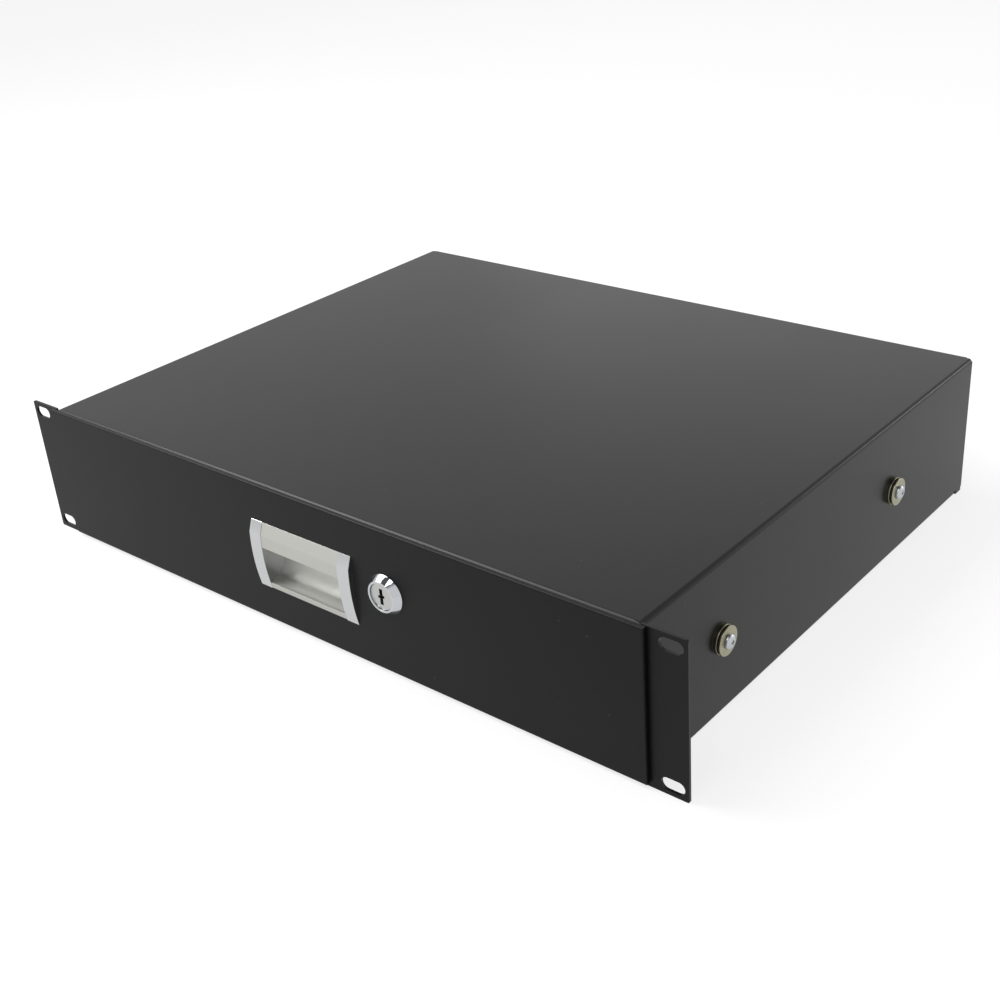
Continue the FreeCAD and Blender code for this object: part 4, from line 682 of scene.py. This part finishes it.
# Radii of head and shank and the head's height, in millimetres.
CAP_HEAD, CAP_SHANK, CAP_HEAD_HIGH = (high.z - low.z) * 500, 1.45, 2.0
screws = []
for x in (low.x + CAP_HEAD / 1000, high.x - CAP_HEAD / 1000):
    seat = (x, high.y - CAP_HEAD_HIGH / 1000, (low.z + high.z) / 2)
    screws.append(pan_screw("+y", seat, (seat[1] - low.y) * 1000, CAP_HEAD, CAP_HEAD_HIGH,
                            CAP_SHANK))
group_stands_for(screws, "handle_screws", bright_zinc)


# --- Cam lock ------------------------------------------------------------------------------
# A die-cast zinc barrel, chrome plated, with a coned bezel in front and a coarse thread with
# two flats behind; the plug turns in it and carries the cam. A large nut clamps it.

# Millimetres: the bezel's front and base radii, its straight rim and its height; the radii
# of the plug's head and shaft, its running gap and its shoulder in front of the panel.
BEZEL_FRONT, BEZEL, BEZEL_RIM, BEZEL_HIGH = 8.9, 11.5, 0.7, 4.2
PLUG_HEAD, PLUG, PLUG_GAP, PLUG_HEAD_BACK = 7.7, 6.2, 0.08, 1.3
# The thread's crest and root radii, its start behind the bezel, its pitch, the part of the
# pitch that is crest, and the width across the two flats.
THREAD, THREAD_ROOT, THREAD_FROM, PITCH, CREST_PART, FLATS = 9.3, 8.75, 0.8, 1.0, (0.4, 0.6), 16.0
low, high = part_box("lock_barrel")
lock_axis = Vector(((low.x + high.x) / 2, low.y, (low.z + high.z) / 2))
behind = (high.y - low.y) * 1000
thread = []
for ridge in range(int((behind - BEZEL_HIGH - PITCH) / PITCH)):
    start = BEZEL_HIGH + THREAD_FROM + ridge * PITCH
    thread += [(start, THREAD_ROOT)] + [(start + part * PITCH, THREAD) for part in CREST_PART]
barrel = turn("lock_barrel_finished",
              [(0, BEZEL_FRONT), (BEZEL_HIGH - BEZEL_RIM, BEZEL), (BEZEL_HIGH, BEZEL),
               (BEZEL_HIGH, THREAD_ROOT)] + thread
              + [(behind, THREAD_ROOT), (behind, PLUG + PLUG_GAP),
                 (BEZEL_HIGH - PLUG_HEAD_BACK, PLUG + PLUG_GAP),
                 (BEZEL_HIGH - PLUG_HEAD_BACK, PLUG_HEAD + PLUG_GAP), (0, PLUG_HEAD + PLUG_GAP)],
              "+y", lock_axis, hollow=True, edge_mm=0.18)
# In metres: a cutting block stands this far out of the metal, and a joined one is sunk this
# deep into it.
OUTSIDE, INSIDE = 0.001, 0.0005
near, far = FLATS / 2000, BEZEL * 1.2 / 1000
for sign in (1, -1):
    edges = sorted((lock_axis.z + sign * near, lock_axis.z + sign * far))
    carve(barrel, block((lock_axis.x - far, low.y + BEZEL_HIGH / 1000, edges[0]),
                        (lock_axis.x + far, high.y + OUTSIDE, edges[1])))
lock_chrome = chrome("polished_chrome_plate", "#bcbec2", 0.05)
stands_for(barrel, "lock_barrel", lock_chrome)

low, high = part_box("lock_plug")
face = low.y
shoulder = (lock_axis.y - face) * 1000 + BEZEL_HIGH - PLUG_HEAD_BACK - PLUG_GAP
# Half the side of the square that carries the cam, and its length.
SQUARE, SQUARE_LONG = 3.0, 2.2
plug = turn("lock_plug_finished",
            [(0, PLUG_HEAD), (shoulder, PLUG_HEAD), (shoulder, PLUG),
             ((high.y - face) * 1000 - SQUARE_LONG, PLUG)], "+y",
            (lock_axis.x, face, lock_axis.z), edge_mm=0.3)
square = block((lock_axis.x - SQUARE / 1000, high.y - SQUARE_LONG / 1000 - INSIDE,
                lock_axis.z - SQUARE / 1000),
               (lock_axis.x + SQUARE / 1000, high.y, lock_axis.z + SQUARE / 1000))
carve(plug, square, "UNION")
# The keyway is a slot with a side ward to the right and, a little lower, one to the left.
KEY_HIGH, KEY_WIDE, KEY_WARD, KEY_DEEP = 9.4, 2.2, 2.2, 9.0
keyways = (((-KEY_WIDE / 2, -KEY_HIGH / 2), (KEY_WIDE / 2, KEY_HIGH / 2)),
           ((0, -KEY_WIDE / 4), (KEY_WARD, KEY_WIDE / 2)),
           ((-KEY_WARD, -KEY_WIDE / 2), (0, KEY_WIDE / 4)))
for (left, bottom), (right, top) in keyways:
    carve(plug, block((lock_axis.x + left / 1000, face - OUTSIDE, lock_axis.z + bottom / 1000),
                      (lock_axis.x + right / 1000, face + KEY_DEEP / 1000,
                       lock_axis.z + top / 1000)))
plug_nickel = chrome("matt_nickel_plate", "#b6b6b5", 0.30)
stands_for(plug, "lock_plug", plug_nickel)

low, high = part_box("lock_nut")
nut = hex_nut("+y", (lock_axis.x, low.y, lock_axis.z), (high.z - low.z) * 1000,
              (high.y - low.y) * 1000, THREAD)
nut.name = "lock_nut_finished"
stands_for(nut, "lock_nut", bright_zinc)
refine("lock_cam", bright_zinc, 0.2)
low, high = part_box("cam_screw")
CAM_HEAD, CAM_HEAD_HIGH, CAM_SHANK = 4.6, 2.6, 2.0
seat = high.y - CAM_HEAD_HIGH / 1000
screw = pan_screw("+y", (lock_axis.x, seat, lock_axis.z), (seat - low.y) * 1000, CAM_HEAD,
                  CAM_HEAD_HIGH, CAM_SHANK)
screw.name = "cam_screw_finished"
stands_for(screw, "cam_screw", bright_zinc)


# --- Release levers ------------------------------------------------------------------------
# Black acetal levers, each moulded in one piece and riveted inside its inner rail. At full
# travel a hook catches the middle rail's stop tab; pressed, the lever lets the drawer off.

for hand in ("left", "right"):
    refine(f"release_lever_{hand}", acetal, 0.3)
refine("lever_pins", bright_zinc, 0.25)


# --- Studio --------------------------------------------------------------------------------
# A pale floor and horizon under an unlit ceiling. Soft boxes overhead, above the front and at
# the left draw a line of light along each fold; weaker ones stand behind and at the right.

def seen_directly(tree):
    """1 for rays from the camera and for reflected or refracted rays, else 0."""
    path = add_node(tree, "ShaderNodeLightPath")
    sight = add_node(tree, "ShaderNodeMath", [(0, path, "Is Camera Ray"),
                                              (1, path, "Is Glossy Ray")], operation="MAXIMUM")
    return add_node(tree, "ShaderNodeMath", [(0, sight, 0), (1, path, "Is Transmission Ray")],
                    operation="MAXIMUM")


# The ceiling starts and ends at these heights of a ray's direction; the room's light falls on
# matt surfaces at its own level.
CEILING_FROM, CEILING_FULL, CEILING_LEVEL, ROOM_LEVEL = 0.64, 0.84, 0.15, 0.65
world = bpy.data.worlds.new("studio")
world.use_nodes = True
bpy.context.scene.world = world
tree = world.node_tree
direction = add_node(tree, "ShaderNodeTexCoord")
upward = add_node(tree, "ShaderNodeSeparateXYZ", [(0, direction, 0)])
ceiling = add_node(tree, "ShaderNodeMapRange", [(0, upward, 2)], interpolation_type="SMOOTHSTEP",
                   in_1=CEILING_FROM, in_2=CEILING_FULL, in_3=1.0, in_4=CEILING_LEVEL)
path = add_node(tree, "ShaderNodeLightPath")
shown = add_node(tree, "ShaderNodeMath", [(0, ceiling, 0), (1, path, "Is Camera Ray")],
                 operation="MAXIMUM")
level = add_node(tree, "ShaderNodeMapRange", [(0, seen_directly(tree), 0), (4, shown, 0)],
                 in_3=ROOM_LEVEL)
sky = tree.nodes["Background"]
sky.inputs["Color"].default_value = (1.0, 1.0, 1.0, 1.0)
tree.links.new(level.outputs[0], sky.inputs["Strength"])

# Part of the floor's look is plain white, and the rest is matt paint that takes the shadow.
FLOOR_SIZE, WHITE_SHARE = 12.0, 0.78
bpy.ops.mesh.primitive_plane_add(size=FLOOR_SIZE, location=(0.0, 0.0, cad_box[0].z))
floor = bpy.context.active_object
floor.name = "studio_floor"
floor_paint = bpy.data.materials.new("pale_floor")
floor_paint.use_nodes = True
tree = floor_paint.node_tree
paint = tree.nodes["Principled BSDF"]
paint.inputs["Base Color"].default_value = linear("#f2f2f2")
paint.inputs["Roughness"].default_value = 0.9
share = add_node(tree, "ShaderNodeMath", [(0, seen_directly(tree), 0)], operation="MULTIPLY",
                 in_1=WHITE_SHARE)
glow = add_node(tree, "ShaderNodeEmission", in_0=(1.0, 1.0, 1.0, 1.0), in_1=1.0)
mixed = add_node(tree, "ShaderNodeMixShader", [(0, share, 0), (1, paint, 0), (2, glow, 0)])
tree.links.new(mixed.outputs[0], tree.nodes["Material Output"].inputs["Surface"])
floor.data.materials.append(floor_paint)


def soft_light(name, place, aim, size, power):
    """A soft box that the camera doesn't see; sizes are in metres and power in watts."""
    data = bpy.data.lights.new(name, "AREA")
    data.shape, data.size, data.size_y = "RECTANGLE", *size
    data.energy = power
    light = bpy.data.objects.new(name, data)
    light.location = place
    light.rotation_euler = (Vector(aim) - Vector(place)).to_track_quat("-Z", "Y").to_euler()
    light.visible_camera = False
    bpy.context.collection.objects.link(light)


MIDDLE, RIGHT_WALL = (0.0, 0.17, 0.0), (HALF_WIDTH / 1000, 0.3, 0.0)
soft_light("overhead_left", (-0.75, -0.05, 1.25), MIDDLE, (0.9, 0.9), 18.0)
soft_light("above_front", (0.28, -0.60, 1.28), MIDDLE, (0.4, 0.4), 3.0)
soft_light("left", (-0.95, -0.45, 0.95), MIDDLE, (0.9, 0.6), 8.5)
soft_light("behind", (-0.65, 1.95, 0.60), MIDDLE, (1.4, 0.6), 0.9)
soft_light("right_rear", (0.97, 1.45, 0.36), RIGHT_WALL, (0.5, 0.4), 3.0)
bpy.context.scene.view_settings.view_transform = "Standard"


# --- Camera --------------------------------------------------------------------------------
# A normal lens in front of the right-hand corner, looking down on the roof. Its place is in
# metres, its turn in radians, and its lens and sensor are in millimetres.

PLACE, TURN = (0.518072, -0.423542, 0.382391), (1.0831, 0.0691, 0.6924)
LENS, SENSOR = 51.01, 36.0
camera_data = bpy.data.cameras.new("camera")
camera_data.sensor_width = SENSOR
camera_data.lens = LENS
camera_data.clip_start, camera_data.clip_end = 0.01, 20.0
camera = bpy.data.objects.new("camera", camera_data)
camera.location = PLACE
camera.rotation_euler = TURN
bpy.context.collection.objects.link(camera)
bpy.context.scene.camera = camera
